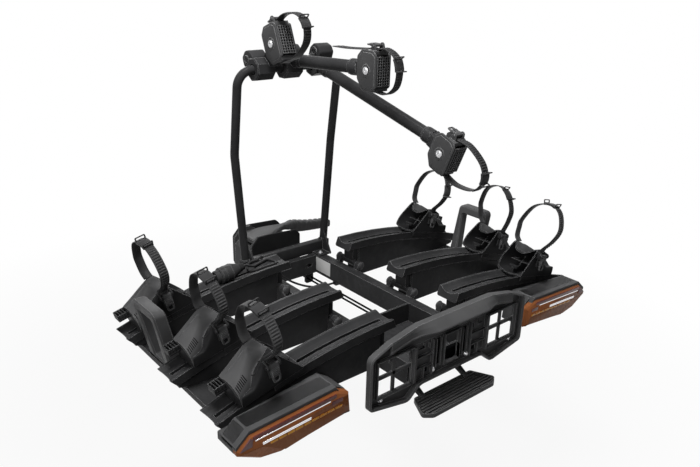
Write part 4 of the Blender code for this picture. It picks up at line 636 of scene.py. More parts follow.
@dataclass(frozen=True)
class Finish:
    """One surface finish.

    Attributes:
        name: Name of the material.
        slot: The record's slot that it belongs to.
        colour: Main colour.
        pale: Colour of its paler patches.
        edge_highlight: Colour along its edges, a painted highlight for the light that rounded edges
            catch.
        roughness: Least and most roughness.
        grain: Kind of relief.
        scale: Fineness of the relief, features to the metre.
        relief: Height of the relief.
        metallic: Whether it is bare metal.
        specular: Level of reflection of what isn't metal.
        coat: Weight of a clear coat.
        edge: Radius of the eased edges.
    """

    name: str
    slot: Slot
    colour: Colour
    pale: Colour
    edge_highlight: Colour
    roughness: tuple[float, float]
    grain: Grain
    scale: float
    relief: float
    metallic: float = 0.0
    specular: float = 0.5
    coat: float = 0.0
    edge: float = 0.0012

    def make(self) -> bpy.types.Material:
        """The node material of this finish.

        Returns:
            The material.
        """
        recipe = Recipe(self.name)
        eased, edge = recipe.edges(self.edge)
        cloud = recipe.span(recipe.noise(14.0, 4.0), (0.35, 0.70), (0.0, 1.0))
        # Painted highlight: a pale colour along the edges, broken up by noise, stands in for the
        # light that rounded edges catch.
        highlight_breakup = recipe.span(recipe.noise(120.0, 5.0), (0.34, 0.62), (0.75, 1.0))
        body = recipe.mixed(cloud, self.colour, self.pale)
        recipe.put("Base Color", recipe.mixed(recipe.times(edge, highlight_breakup), body, self.edge_highlight))
        if self.grain is Grain.BRUSHED:
            height = recipe.noise(self.scale, 2.0, recipe.stretched((1.0, 0.04, 1.0)))
        elif self.grain is Grain.MOULD:
            height = recipe.cells(self.scale)
        else:
            height = recipe.noise(self.scale, 2.0)
        recipe.put("Roughness", recipe.span(recipe.noise(55.0, 5.0), (0.30, 0.72), self.roughness))
        bump = recipe.node(
            "ShaderNodeBump", Height=height, Strength=1.0, Distance=self.relief, Normal=eased)
        recipe.put("Normal", bump.outputs[0])
        recipe.put("Metallic", self.metallic)
        recipe.put("Specular IOR Level", self.specular)
        recipe.put("Coat Weight", self.coat)
        recipe.put("Coat Roughness", 0.06)
        return recipe.material


class Finishes:
    """Every finish of the rack, each made once."""

    RECIPES = {
        "powder": Finish(
            "satin_black_powder", Slot.METAL, (0.0390, 0.0390, 0.0402), (0.0520, 0.0520, 0.0534),
            (0.420, 0.420, 0.425), (0.20, 0.32), Grain.PEEL, 900.0, 0.00006, specular=0.025,
            edge=0.0016),
        "plastic": Finish(
            "charcoal_moulding", Slot.PLASTIC, (0.0840, 0.0840, 0.0855), (0.1060, 0.1060, 0.1075),
            (0.460, 0.460, 0.465), (0.28, 0.40), Grain.MOULD, 1400.0, 0.00006, specular=0.025,
            edge=0.0013),
        "shell": Finish(
            "black_moulding", Slot.PLASTIC, (0.0270, 0.0270, 0.0278), (0.0360, 0.0360, 0.0370),
            (0.400, 0.400, 0.405), (0.28, 0.40), Grain.MOULD, 1400.0, 0.00006, specular=0.012,
            edge=0.0013),
        "strap": Finish(
            "black_strap", Slot.RUBBER, (0.0480, 0.0480, 0.0490), (0.0640, 0.0640, 0.0650),
            (0.420, 0.420, 0.425), (0.26, 0.38), Grain.PEEL, 1500.0, 0.00004, specular=0.03,
            edge=0.0004),
        "cable": Finish(
            "cable_sheath", Slot.RUBBER, (0.0290, 0.0290, 0.0298), (0.0380, 0.0380, 0.0388),
            (0.080, 0.080, 0.080), (0.30, 0.44), Grain.PEEL, 2200.0, 0.00003, specular=0.05,
            edge=0.0003),
        # Near black: painted shade on the heads' pad backs, the plate holder's spacer and recess
        # patches and the pedal's floor between ridges; also the calves' black marks and the release
        # rods.
        "dark": Finish(
            "shadowed_moulding", Slot.PLASTIC, (0.0018, 0.0018, 0.0020), (0.0030, 0.0030, 0.0032),
            (0.008, 0.008, 0.008), (0.60, 0.75), Grain.MOULD, 1400.0, 0.00010, specular=0.01),
        "steel": Finish(
            "bright_zinc", Slot.STEEL, (0.60, 0.60, 0.61), (0.70, 0.70, 0.71), (0.80, 0.80, 0.80),
            (0.22, 0.38), Grain.BRUSHED, 1800.0, 0.00002, metallic=1.0, edge=0.0004),
        "chrome": Finish(
            "chrome_strip", Slot.LENS, (0.80, 0.80, 0.82), (0.86, 0.86, 0.88), (0.90, 0.90, 0.90),
            (0.08, 0.16), Grain.SMOOTH, 400.0, 0.00001, metallic=1.0, edge=0.0003),
        "label": Finish(
            "blank_label", Slot.PLASTIC, (0.72, 0.72, 0.71), (0.78, 0.78, 0.77), (0.70, 0.70, 0.69),
            (0.30, 0.42), Grain.SMOOTH, 500.0, 0.00002, edge=0.0002),
        "amber": Finish(
            "amber_lens", Slot.LENS, (0.300, 0.098, 0.032), (0.365, 0.130, 0.048),
            (0.44, 0.20, 0.09),
            (0.22, 0.34), Grain.BRUSHED, 700.0, 0.00004, specular=0.06, edge=0.0006),
        "brown": Finish(
            "brown_lens", Slot.LENS, (0.255, 0.092, 0.034), (0.310, 0.122, 0.050),
            (0.32, 0.15, 0.08),
            (0.22, 0.34), Grain.BRUSHED, 900.0, 0.00004, specular=0.06, edge=0.0005),
        "orange": Finish(
            "orange_bar", Slot.LENS, (0.62, 0.240, 0.012), (0.80, 0.350, 0.022), (0.80, 0.40, 0.08),
            (0.20, 0.30), Grain.BRUSHED, 260.0, 0.00010, specular=0.2, coat=0.1, edge=0.0004),
        "red": Finish(
            "red_lens", Slot.LENS, (0.110, 0.018, 0.015), (0.190, 0.040, 0.034), (0.28, 0.08, 0.07),
            (0.20, 0.30), Grain.BRUSHED, 420.0, 0.00008, specular=0.2, coat=0.1, edge=0.0005),
        "reflector": Finish(
            "rose_reflector", Slot.LENS, (0.150, 0.060, 0.062), (0.200, 0.092, 0.094),
            (0.34, 0.22, 0.20), (0.20, 0.30), Grain.MOULD, 420.0, 0.00020, specular=0.2, coat=0.1,
            edge=0.0005),
    }

    @cache
    def get(self, name: str) -> bpy.types.Material:
        """The material of a finish, made at its first use."""
        return self.RECIPES[name].make()

    def slot(self, name: str) -> str:
        """The record's slot of a finish."""
        return self.RECIPES[name].slot.value


@dataclass
class Workshop:
    """Turns surfaces into pieces that ride on the CAD bodies."""

    finishes: Finishes = field(default_factory=Finishes)

    MERGE = 1e-7  # points that lie nearer to each other become one

    def piece(self, name: str, surface: Surface, finish: str, body: str,
              stands_for: tuple[str, ...] = (), sharp: float = 38.0) -> bpy.types.Object:
        """Make a piece.

        Args:
            name: Name of the object.
            surface: Its shape in the part's frame.
            finish: Name of its finish.
            body: CAD body that carries it.
            stands_for: CAD nodes that it replaces.
            sharp: Angle in degrees from which an edge is shaded sharp.

        Returns:
            The object.
        """
        mesh = bpy.data.meshes.new(name)
        faces = surface.quads.tolist() + [cap.tolist() for cap in surface.caps]
        mesh.from_pydata(surface.points.tolist(), [], faces)
        shape = bmesh.new()
        shape.from_mesh(mesh)
        bmesh.ops.remove_doubles(shape, verts=shape.verts, dist=self.MERGE)
        bmesh.ops.recalc_face_normals(shape, faces=shape.faces)
        shape.to_mesh(mesh)
        shape.free()
        mesh.shade_smooth()
        mesh.set_sharp_from_angle(angle=math.radians(sharp))
        mesh.materials.append(self.finishes.get(finish))
        made = bpy.data.objects.new(name, mesh)
        bpy.context.scene.collection.objects.link(made)
        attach(made, body)
        self.finishes.slot(finish)
        if stands_for:
            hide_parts(*stands_for)
        LOG.info("piece %s on %s: %d faces", name, body, len(mesh.polygons))
        return made

    def dress(self, node: str, finish: str) -> None:
        """Give a CAD node that stays a finish.

        Args:
            node: Name of the node.
            finish: Name of the finish.
        """
        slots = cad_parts[node].data.materials
        slots.clear()
        slots.append(self.finishes.get(finish))
        LOG.info("node %s finished as %s", node, finish)


@dataclass
class TrayArc:
    """The arc that the wheel trays follow.

    Attributes:
        radius: Radius of the trays' lips.
        apex_x: Distance of the arc's top from the middle plane.
        apex_z: Height of the arc's top.
        rows: Middle of each tray along Y.
        gutter: Depth of the trough.
        half: Half a tray's width.
        lip: Width of a lip.
    """

    radius: float = 1.530
    apex_x: float = 0.110
    apex_z: float = 0.115
    rows: tuple[float, float, float] = (-0.255298, -0.490001, -0.690201)
    gutter: float = 0.010
    half: float = 0.03425
    lip: float = 0.006

    def angle(self, x: float | Array) -> Array:
        """Angle along the arc at a distance from the middle plane."""
        return np.arcsin((np.asarray(x, float) - self.apex_x) / self.radius)

    def point(self, x: float | Array, height: float) -> Array:
        """Point (x, z) at a height over the lips, square to the arc at x on the lips.

        Args:
            x: Distance from the middle plane.
            height: Height over the lips.

        Returns:
            The coordinates in the last axis.
        """
        turn, reach = self.angle(x), self.radius + height
        level = self.apex_z - self.radius
        return np.stack((self.apex_x + reach * np.sin(turn), level + reach * np.cos(turn)), axis=-1)

    def drop(self, y: float | Array) -> Array:
        """Depth of the trough at a distance from the tray's middle."""
        return self.gutter * np.maximum(0.0, 1 - (np.asarray(y) / (self.half - self.lip)) ** 2)

    def seat(self, side: Side, row: int, inner_x: float, length: float) -> Place:
        """Frame of what slides on a tray: X outward along it, Z square to it.

        Args:
            side: Wing that it is on.
            row: Number of the tray, from nought.
            inner_x: Distance of its inner end from the middle plane.
            length: Its length.

        Returns:
            The place of its inner end.
        """
        turn = float(self.angle(inner_x + length / 2))
        c, s = math.cos(turn), math.sin(turn)
        level = self.apex_z - self.radius
        origin = (
            self.apex_x - length / 2 * c + self.radius * s, self.rows[row],
            level + length / 2 * s + self.radius * c)
        return Place(origin, turn_y(turn), side is Side.LEFT)


@dataclass
class Strap:
    """Ladder strap: a band with a row of teeth across its outer face.

    Attributes:
        width: Width of the band.
        thickness: Thickness between the teeth.
        pitch: Distance from tooth to tooth.
        tooth: Height of a tooth.
    """

    width: float = 0.024
    thickness: float = 0.0025
    pitch: float = 0.0066
    tooth: float = 0.0019

    def band(self, path: Array, place: Place, teeth: tuple[float, float]) -> Surface:
        """Band along a path of its own plane, square to X.

        Its height over the path is half the thickness, plus the tooth's height times
        a square wave with slanted flanks between the two ends of the teeth.

        Args:
            path: Points (x, y, z) of the middle line, outer side to the left.
            place: Frame of the path.
            teeth: Shares of the length where the teeth begin and end.

        Returns:
            The closed surface in the part's frame.
        """
        even, along = evenly(path, self.pitch / 8)
        wave = np.clip(0.5 + 1.5 * np.sin(math.tau * along / self.pitch), 0.0, 1.0)
        share = along / along[-1]
        wave *= (share > teeth[0]) & (share < teeth[1])
        half, thick = self.width / 2, self.thickness / 2
        flat = np.array([
            (-half + 0.0007, -thick), (half - 0.0007, -thick), (half, -thick + 0.0006),
            (half, thick - 0.0006), (half - 0.0007, thick), (half - 0.0026, thick),
            (half - 0.0034, thick), (-half + 0.0034, thick), (-half + 0.0026, thick),
            (-half + 0.0007, thick), (-half, thick - 0.0006), (-half, -thick + 0.0006)])
        raised = np.zeros_like(flat)
        raised[6:8, 1] = self.tooth
        return sweep(even, ALONG_X, flat[None] + raised[None] * wave[:, None, None]).at(place)

    def sleeve(self, path: Array, place: Place, start: float, end: float) -> Surface:
        """Sliding sleeve on the band, with a flat ear standing out at each end.

        Args:
            path: Points of the band's middle line.
            place: Frame of the path.
            start: Share of the length where it begins.
            end: Share of the length where it ends.

        Returns:
            The closed surfaces in the part's frame.
        """
        even, along = evenly(path, 0.0015)
        share = along / along[-1]
        stretch = even[(share >= start) & (share <= end)]
        half, thick = self.width / 2 + 0.0022, self.thickness / 2 + 0.0019
        outline = round_corners(oblong(-half, -thick, half, thick), 0.0016, 3)
        parts = [sweep(stretch, ALONG_X, outline)]
        tangent = directions(stretch)
        for at, toward in ((0, 1.0), (-1, -1.0)):
            out = np.cross(tangent[at], ALONG_X)
            out /= np.linalg.norm(out)
            rows = np.stack((ALONG_X, out, tangent[at]), axis=1)
            ear = Place(tuple(stretch[at] + tangent[at] * toward * 0.0013), tuple(map(tuple, rows)))
            low, high = thick - 0.0012, thick + 0.0105
            outer = round_corners(oblong(-half, low, half, high), 0.003, 3)
            window = oblong(-half + 0.0034, low + 0.0030, half - 0.0034, high - 0.0030)
            inner = round_corners(window, 0.0015, 3)
            parts.append(ring(outer, inner, "Z", -0.0013, 0.0013, 0.0005).at(ear))
        return join(parts).at(place)


@dataclass
class Ratchet:
    """Ratchet that tightens a strap: two ears, a pin and a lever on it.

    Attributes:
        rise: Height of the lever's axis over the strap.
        ear: Thickness of an ear.
        ear_radius: Radius of an ear's head.
        length: Length of the lever.
        width: Width of the lever.
    """

    rise: float = 0.0090
    ear: float = 0.0040
    ear_radius: float = 0.0075
    length: float = 0.034
    width: float = 0.023

    def ears(self, strap: Strap) -> Surface:
        """Both ears with their pin, about the lever's axis along X, feet towards -Z.

        Args:
            strap: Sizes of the strap that runs between them.

        Returns:
            The closed surfaces in its own frame.
        """
        inner = strap.width / 2 + 0.0005
        outer = inner + self.ear
        foot = -self.rise - strap.thickness - 0.0025
        radius = self.ear_radius
        angle = np.linspace(math.pi, 0.0, 15)
        head = radius * spokes(angle)
        outline = np.vstack(((-radius - 0.004, foot), head, (radius + 0.004, foot)))
        parts = [
            prism(outline, "X", inner, outer, 0.0009), prism(outline, "X", -outer, -inner, 0.0009),
            turned([(-outer - 0.0012, 0.0026), (-outer - 0.0006, 0.0032), (outer + 0.0006, 0.0032),
                    (outer + 0.0012, 0.0026)], ORIGIN, ALONG_X, 16)]
        return join(parts)

    def lever(self) -> Surface:
        """Lever with its blade towards -Y: a round barrel, ribs and a looped end.

        Returns:
            The closed surfaces in its own frame.
        """
        half = self.width / 2
        tip = -self.length
        blade = round_corners([
            (0.0040, -0.0030), (0.0040, 0.0034), (-0.006, 0.0052), (tip * 0.50, 0.0034),
            (tip * 0.62, 0.0032), (tip * 0.62, -0.0012), (tip * 0.4, -0.0024)], 0.0016, 3)
        parts = [prism(blade, "X", -half, half, 0.0009)]
        for share in (0.16, 0.26, 0.36, 0.46, 0.56):
            parts.append(turned(
                [(-half + 0.002, 0.0008), (-half + 0.0026, 0.0016), (half - 0.0026, 0.0016),
                 (half - 0.002, 0.0008)], (0.0, tip * share, 0.0040), ALONG_X, 12))
        wide = half * 0.80
        outer = round_corners([
            (-wide, tip), (wide, tip), (half, tip * 0.60), (-half, tip * 0.60)], 0.004, 4)
        inner = round_corners([
            (-wide + 0.0045, tip + 0.0035), (wide - 0.0045, tip + 0.0035),
            (half - 0.0055, tip * 0.68), (-half + 0.0055, tip * 0.68)], 0.0025, 4)
        parts.append(ring(outer, inner, "Z", -0.0010, 0.0030, 0.0008))
        return join(parts)


@dataclass
class Cable:
    """Lamp cable: the plug and the folded hank in the left front tray, and the lead.

    Attributes:
        diameter: Diameter of the sheath.
        plug_radius: Radius of the plug's body.
        plug_length: Length of the plug's body.
        plug_outer_x: Distance of the plug's outer end from the middle plane.
        collar_radius: Radius of the cable collar.
        collar_length: Length of the cable collar.
        fold: Radius of the hank's folds.
        run: Distances of the folds from the middle plane.
        step: How far one turn lies outside the other.
        hinge: Place (x, z) of the wing's hinge axis.
        join_y: Where the cable crosses that axis, from the tray's middle.
        beam_top: Height of the beams' upper face.
        clip: End of the lead, at the clip under the right beam.
        gap: Small gap between seated pieces.
    """

    diameter: float = 0.0065
    plug_radius: float = 0.0225
    plug_length: float = 0.073
    plug_outer_x: float = 0.335
    collar_radius: float = 0.0130
    collar_length: float = 0.017
    fold: float = 0.0195
    run: tuple[float, float] = (0.206, 0.162)
    step: float = 0.0076
    hinge: tuple[float, float] = HINGE
    join_y: float = 0.075
    beam_top: float = 0.029
    clip: Point = (0.1037, -0.224048, -0.039)
    gap: float = 0.0003

    SPACING = 0.0020  # distance between the points of a cord
    ASKEW = (0.31, 0.17, 0.93)  # a direction that no cord runs along

    def rest(self, arc: TrayArc, x: Array, y: Array) -> Array:
        """Height of the cable's axis where it lies in the tray."""
        ground = arc.point(np.abs(x), 0.0)[..., 1] - arc.drop(y)
        return ground + self.diameter / 2 + 6 * self.gap

    def plug_place(self, arc: TrayArc) -> Place:
        """Frame of the plug: X outward along the tray, origin at its middle.

        Args:
            arc: The arc that the trays follow.

        Returns:
            The plug's place on the left wing.
        """
        x = self.plug_outer_x - self.plug_length / 2
        turn = float(arc.angle(x))
        middle = arc.point(x, self.plug_radius - arc.gutter + 4 * self.gap)
        return Place((float(middle[0]), arc.rows[0], float(middle[1])), turn_y(turn), True)

    def eased(self, route: Array) -> Array:
        """Smooth curve along a route, from its far end, straight in both end stretches."""
        return np.vstack((route[:1], smooth_path(route[1:-1], 4), route[-1:]))[::-1]

    def hank(self, arc: TrayArc) -> Array:
        """Route from the hinge axis over the tray's lip, once round, to the plug.

        The folds are half circles whose radius grows by one step; between them the
        cable lies in the trough at the height of its rest.

        Args:
            arc: The trays' arc.

        Returns:
            Points of the route, the hinge axis first.
        """
        middle = arc.rows[0]
        left, right = -self.run[0], -self.run[1]
        seat = self.plug_place(arc)
        inner = -self.plug_length / 2 - self.collar_length - self.gap
        start = seat.carry(np.array(((inner, 0.0, 0.0), (inner - self.diameter, 0.0, 0.0))))
        low = np.array(((left - 0.008, 0.004), (left + 0.010, 0.012)))
        near = np.column_stack((
            low[:, 0], middle + low[:, 1], self.rest(arc, low[:, 0], low[:, 1]) + (0.0065, 0.0015)))
        share = np.arange(12) / 11
        turn = np.radians(90 - 180 * share)
        back = np.radians(270 - 180 * share)
        wide = self.fold + self.step * share
        x = np.concatenate((right + self.fold * np.cos(turn), left + wide * np.cos(back)))
        y = np.concatenate((self.fold * np.sin(turn), wide * np.sin(back)))
        folds = np.column_stack((x, middle + y, self.rest(arc, x, y)))
        wide = self.fold + self.step
        lip = arc.half + self.diameter / 2
        hinge_x, hinge_z = self.hinge
        drop = float(arc.point(-right, 0.0)[1]) - hinge_z
        away = np.array((
            (left + 0.024, middle + wide + 0.001, float(self.rest(arc, left + 0.024, wide))),
            (right - 0.006, middle + wide + 0.006, float(self.rest(arc, right, wide)) + 0.0025),
            (right + 0.005, middle + lip + 0.0065, hinge_z + drop * 0.95),
            (right + 0.011, middle + lip + 0.0135, hinge_z + drop * 0.70),
            (right + 0.015, middle + lip + 0.0175, hinge_z + drop * 0.42),
            (-hinge_x - 0.003, middle + lip + 0.023, hinge_z + drop * 0.17),
            (-hinge_x, middle + self.join_y - self.diameter, hinge_z),
            (-hinge_x, middle + self.join_y - self.gap / 2, hinge_z)))
        return self.eased(np.vstack((start, near, folds, away)))

    def lead(self, arc: TrayArc) -> Array:
        """Route from the clip under the right beam, sagging, to the wing's hinge axis.

        Args:
            arc: The arc that the trays follow.

        Returns:
            Points of the route, the clip first.
        """
        join_y = arc.rows[0] + self.join_y + self.gap / 2
        over = self.beam_top + self.diameter / 2 + 2 * self.gap
        hinge_x, hinge_z = self.hinge
        x, y, z = self.clip
        route = np.array((
            (-hinge_x, join_y, hinge_z), (-hinge_x, join_y + self.diameter, hinge_z),
            (-hinge_x + 0.005, join_y + 0.0125, hinge_z - 0.001),
            (-0.121, join_y + 0.0145, over + 0.0015),
            (-0.108, join_y + 0.0115, over + 0.0005), (-0.093, join_y + 0.006, over - 0.001),
            (-0.070, join_y - 0.004, 0.018), (-0.040, join_y - 0.014, -0.006),
            (0.0, join_y - 0.026, -0.027), (0.040, join_y - 0.037, -0.0375),
            (0.075, y + 0.001, z + 0.0005), (x - self.diameter, y, z), (x, y, z)))
        return self.eased(route)

    def plug(self, arc: TrayArc) -> tuple[Surface, Surface]:
        """Plug body with its grip ribs, and the collar that relieves the cable.

        Args:
            arc: The arc that the trays follow.

        Returns:
            The body, and the collar.
        """
        half, radius = self.plug_length / 2, self.plug_radius
        body = [turned([
            (half - 0.006, radius * 0.60), (half, radius * 0.66), (half, radius * 0.80),
            (half - 0.0015, radius * 0.83), (half - 0.012, radius * 0.83),
            (half - 0.013, radius * 0.97),
            (half - 0.0145, radius), (-half + 0.024, radius), (-half + 0.021, radius * 0.985),
            (-half + 0.012, radius * 0.82), (-half + 0.002, radius * 0.66), (-half, radius * 0.60),
        ], ORIGIN, ALONG_X, 40)]
        for along in (half - 0.017, half - 0.030, -half + 0.0255):
            body.append(turned([
                (along - 0.0016, radius * 0.97), (along - 0.0009, radius * 1.03),
                (along + 0.0009, radius * 1.03), (along + 0.0016, radius * 0.97),
            ], ORIGIN, ALONG_X, 40))
        steps = np.linspace(0.0, 1.0, 25)
        wave = 0.0009 * (np.sin(steps * 10 * math.pi) > 0)
        size = self.collar_radius * (1 - 0.34 * steps) - wave
        along = -half - 0.0002 - steps * (self.collar_length - 0.0002)
        collar = turned(list(zip(along, size)), ORIGIN, ALONG_X, 28)
        place = self.plug_place(arc)
        return join(body).at(place), collar.at(place)

    def build(self, shop: Workshop, arc: TrayArc) -> None:
        """Make both cords, the plug and its collar.

        Args:
            shop: Makes the pieces.
            arc: The arc that the trays follow.
        """
        shell, collar = self.plug(arc)
        plug = shop.piece("plug_shell", shell, "strap", "wing_left", ("plug",))
        relief = shop.piece("plug_collar", collar, "cable", "wing_left")
        routes = {"cable_lead": self.lead(arc), "cable_hank": self.hank(arc)}
        bodies = {"cable_lead": "platform", "cable_hank": "wing_left"}
        cords = {}
        for node, route in routes.items():
            path, along = evenly(route, self.SPACING)
            shape = tube(path, self.diameter / 2, self.ASKEW, 14)
            cord = shop.piece(f"{node}_sheath", shape, "cable", bodies[node], (node,))
            cords[node] = (cord, path, float(along[-1]))
        cord, path, length = cords["cable_lead"]
        cord, path, length = cords["cable_hank"]


@dataclass
class Hoop:
    """Bent tube on a base bar, with gussets and foot plates.

    Attributes:
        radius: Radius of the tube.
        foot: Place (x, y) of the right foot.
        leg_x: Distance of the legs from the middle plane.
        bend_z: Height where the legs bend back.
        bar: Place (y, z) of the top bar.
        corner: Bend radius of the top corners.
        bend: Bend radius of the legs.
        base: Width and height of the base bar.
        seat: Height of the beams' upper face.
    """

    radius: float = 0.0125
    foot: tuple[float, float] = (0.148, -0.1055)
    leg_x: float = 0.174
    bend_z: float = 0.395
    bar: tuple[float, float] = (-0.138, 0.635)
    corner: float = 0.045
    bend: float = 0.150
    base: tuple[float, float] = (0.025, 0.036)
    seat: float = 0.0293

    def build(self, shop: Workshop) -> None:
        """Make the hoop in place of its node.

        Args:
            shop: Makes the pieces.
        """
        foot_x, foot_y = self.foot
        bar_y, bar_z = self.bar
        wide, high = self.base
        right = np.array((
            (foot_x, foot_y, self.seat + high / 2), (self.leg_x, foot_y, self.bend_z),
            (self.leg_x, bar_y, bar_z)))
        left = right[::-1] * TO_LEFT
        path = round_path(
            np.vstack((right, left)), [self.bend, self.corner, self.corner, self.bend], 16)
        parts = [tube(path, self.radius, ALONG_Y, 32)]
        end_x = foot_x + 0.016
        rear_y = foot_y - wide / 2
        parts.append(block(
            (-end_x, rear_y, self.seat), (end_x, foot_y + wide / 2, self.seat + high), 0.002,
            0.002))
        for side in BOTH_SIDES:
            gusset = round_corners([
                (rear_y + 0.001, self.seat), (rear_y + 0.001, self.seat + 0.070),
                (rear_y - 0.004, self.seat + 0.070), (rear_y - 0.040, self.seat + 0.006),
                (rear_y - 0.040, self.seat)], 0.003, 3)
            parts.append(prism(gusset, "X", 0.1375, 0.1425, 0.0008).at(side))
            plate = block(
                (0.097, rear_y - 0.0375, self.seat), (0.1415, rear_y + 0.001, self.seat + 0.005),
                0.001)
            parts.append(plate.at(side))
            weld = turned([
                (0.0, self.radius + 0.0040), (0.0014, self.radius + 0.0034),
                (0.0034, self.radius + 0.0010), (0.0046, self.radius + 0.0001)],
                (foot_x + 0.0008, foot_y, self.seat + high - 0.0008), (0.074, 0.0, 1.0), 32)
            parts.append(weld.at(side))
        shop.piece("hoop_tube", join(parts), "powder", "platform", ("hoop",))
        bolts = [
            screw((sign * 0.113, rear_y - 0.019, self.seat + 0.005), ALONG_Z, 0.0055, 0.0050)
            for sign in (1, -1)]
        shop.piece("hoop_bolts", join(bolts), "steel", "platform")


@dataclass
class Head:
    """Frame clamp head about its bolt: plates, perforated pad, bridges and ratchet.

    Attributes:
        width: Distance between the plates' outer faces.
        plate: Thickness of a plate.
        deep: Half its depth.
        tall: Half its height.
        pad: Half the pad's height.
        pad_thickness: Thickness of the pad.
        pad_corner: Slope beside the pad.
        back_corner: Slope at the upper back.
        low: Slope at the lower back, along and up.
        bridge: Distance of the bridges' ends from the bolt.
        gap: Gap under the strap.
        tail_drop: How far a strap's free tail lies below the head's top.
    """

    width: float = 0.054
    plate: float = 0.0062
    deep: float = 0.037
    tall: float = 0.052
    pad: float = 0.041
    pad_thickness: float = 0.011
    pad_corner: float = 0.016
    back_corner: float = 0.0175
    low: tuple[float, float] = (0.020, 0.028)
    bridge: float = 0.004
    gap: float = 0.0003
    tail_drop: float = 0.007

    def corners(self) -> Array:
        """Corners of a plate as (y, z), the pad's side first.

        Returns:
            Points of shape (8, 2).
        """
        return np.array((
            (-self.deep, -self.pad), (-self.deep, self.pad),
            (-self.deep + self.pad_corner, self.tall),
            (self.deep - self.back_corner, self.tall), (self.deep, self.tall - self.back_corner),
            (self.deep, -self.tall + self.low[1]), (self.deep - self.low[0], -self.tall),
            (-self.deep + self.pad_corner, -self.tall)))

    def swing(self) -> float:
        """Radius that the plates sweep about the bolt."""
        return float(np.max(np.linalg.norm(self.corners(), axis=1)))

    def axis(self, strap: Strap, ratchet: Ratchet) -> tuple[float, float]:
        """Place (y, z) of the ratchet lever's axis."""
        seat = self.tall + self.gap + strap.thickness
        return (-self.bridge - ratchet.ear_radius - 0.0025, seat + ratchet.rise - 0.001)

    def shell(self, strap: Strap, ratchet: Ratchet) -> Surface:
        """Plates with a raised inner panel, bridges, ears and the pad's frame.

        Args:
            strap: Sizes of the strap.
            ratchet: Sizes of the ratchet.

        Returns:
            The closed surfaces in its own frame.
        """
        outer = self.width / 2
        inner = outer - self.plate
        outline = round_corners(self.corners(), 0.004, 4)
        panel = drawn_in(round_corners(self.corners(), 0.005, 4), 0.0065)
        parts = []
        for side in BOTH_SIDES:
            parts.append(prism(outline, "X", inner, outer - 0.0010, 0.0016).at(side))
            parts.append(prism(panel, "X", outer - 0.0030, outer, 0.0009).at(side))
            boss = turned([
                (outer - 0.0015, 0.0165), (outer + 0.0002, 0.0165), (outer + 0.0010, 0.0156),
                (outer + 0.0010, 0.0112), (outer, 0.0106)], ORIGIN, ALONG_X, 40)
            parts.append(boss.at(side))
        start = -self.deep + self.pad_thickness - 0.005
        top = self.tall - 0.0003
        for low, high in ((self.tall - 0.012, top), (-top, -self.tall + 0.012)):
            parts.append(block(
                (-inner - 0.002, start, low), (inner + 0.002, -self.bridge, high), 0.0012))
        y, z = self.axis(strap, ratchet)
        parts.append(ratchet.ears(strap).at(Place((0.0, y, z))))
        return join(parts)

    def grille(self) -> tuple[Surface, Surface]:
        """Pad towards -Y: a lattice of bars over a sunk back.

        Returns:
            The lattice, and the back.
        """
        inner = self.width / 2 - self.plate + 0.001
        face = -self.deep - 0.0025
        high = self.pad - 0.003
        bars = []
        edge, columns, rows = 0.0017, 6, 11
        for number, x in enumerate(np.linspace(-inner + edge, inner - edge, columns)):
            half = edge if number in (0, columns - 1) else 0.0011
            bars.append(block(
                (x - half, face, -high), (x + half, face + 0.0052, high), 0.0006, 0.0006))
        for number, z in enumerate(np.linspace(-high + edge, high - edge, rows)):
            half = edge if number in (0, rows - 1) else 0.0012
            bars.append(block(
                (-inner, face + 0.0003, z - half), (inner, face + 0.0052, z + half), 0.0006,
                0.0006))
        back = block(
            (-inner, face + 0.0046, -high), (inner, -self.deep + self.pad_thickness, high), 0.001)
        return join(bars), back

    def strap_path(self, strap: Strap, depth: float, tail: float) -> Array:
        """Middle line of the strap from its top, round the frame tube, to its bottom.

        Args:
            strap: Sizes of the strap.
            depth: Depth of the loop.
            tail: Length of the free tail, nought for none.

        Returns:
            Points (x, y, z) in the head's frame.
        """
        lift_by = self.gap + strap.thickness / 2
        deep, tall = self.deep, self.tall
        far = -deep - depth
        half = tall * 0.60
        start = [(0.0, tall + lift_by)]
        if tail:
            start = [
                (deep + tail, tall - self.tail_drop),
                (deep + tail * 0.5, tall - self.tail_drop * 0.92),
                (deep - self.pad_corner, tall + lift_by - self.tail_drop * 0.4),
                (self.bridge, tall + lift_by)]
        route = np.array([
            *start, (-deep + 1.1 * self.pad_corner, tall + lift_by),
            (-deep - depth * 0.22, tall + lift_by + depth * 0.06),
            (far + depth * 0.24, tall * 0.84),
            (far, half * 0.55), (far, -half * 0.40), (far + depth * 0.20, -tall * 0.72),
            (-deep - depth * 0.30, -tall - lift_by - depth * 0.02),
            (-deep + self.pad_corner, -tall - lift_by), (-self.bridge, -tall - lift_by)])
        return np.insert(smooth_path(route, 10), 0, 0.0, axis=1)


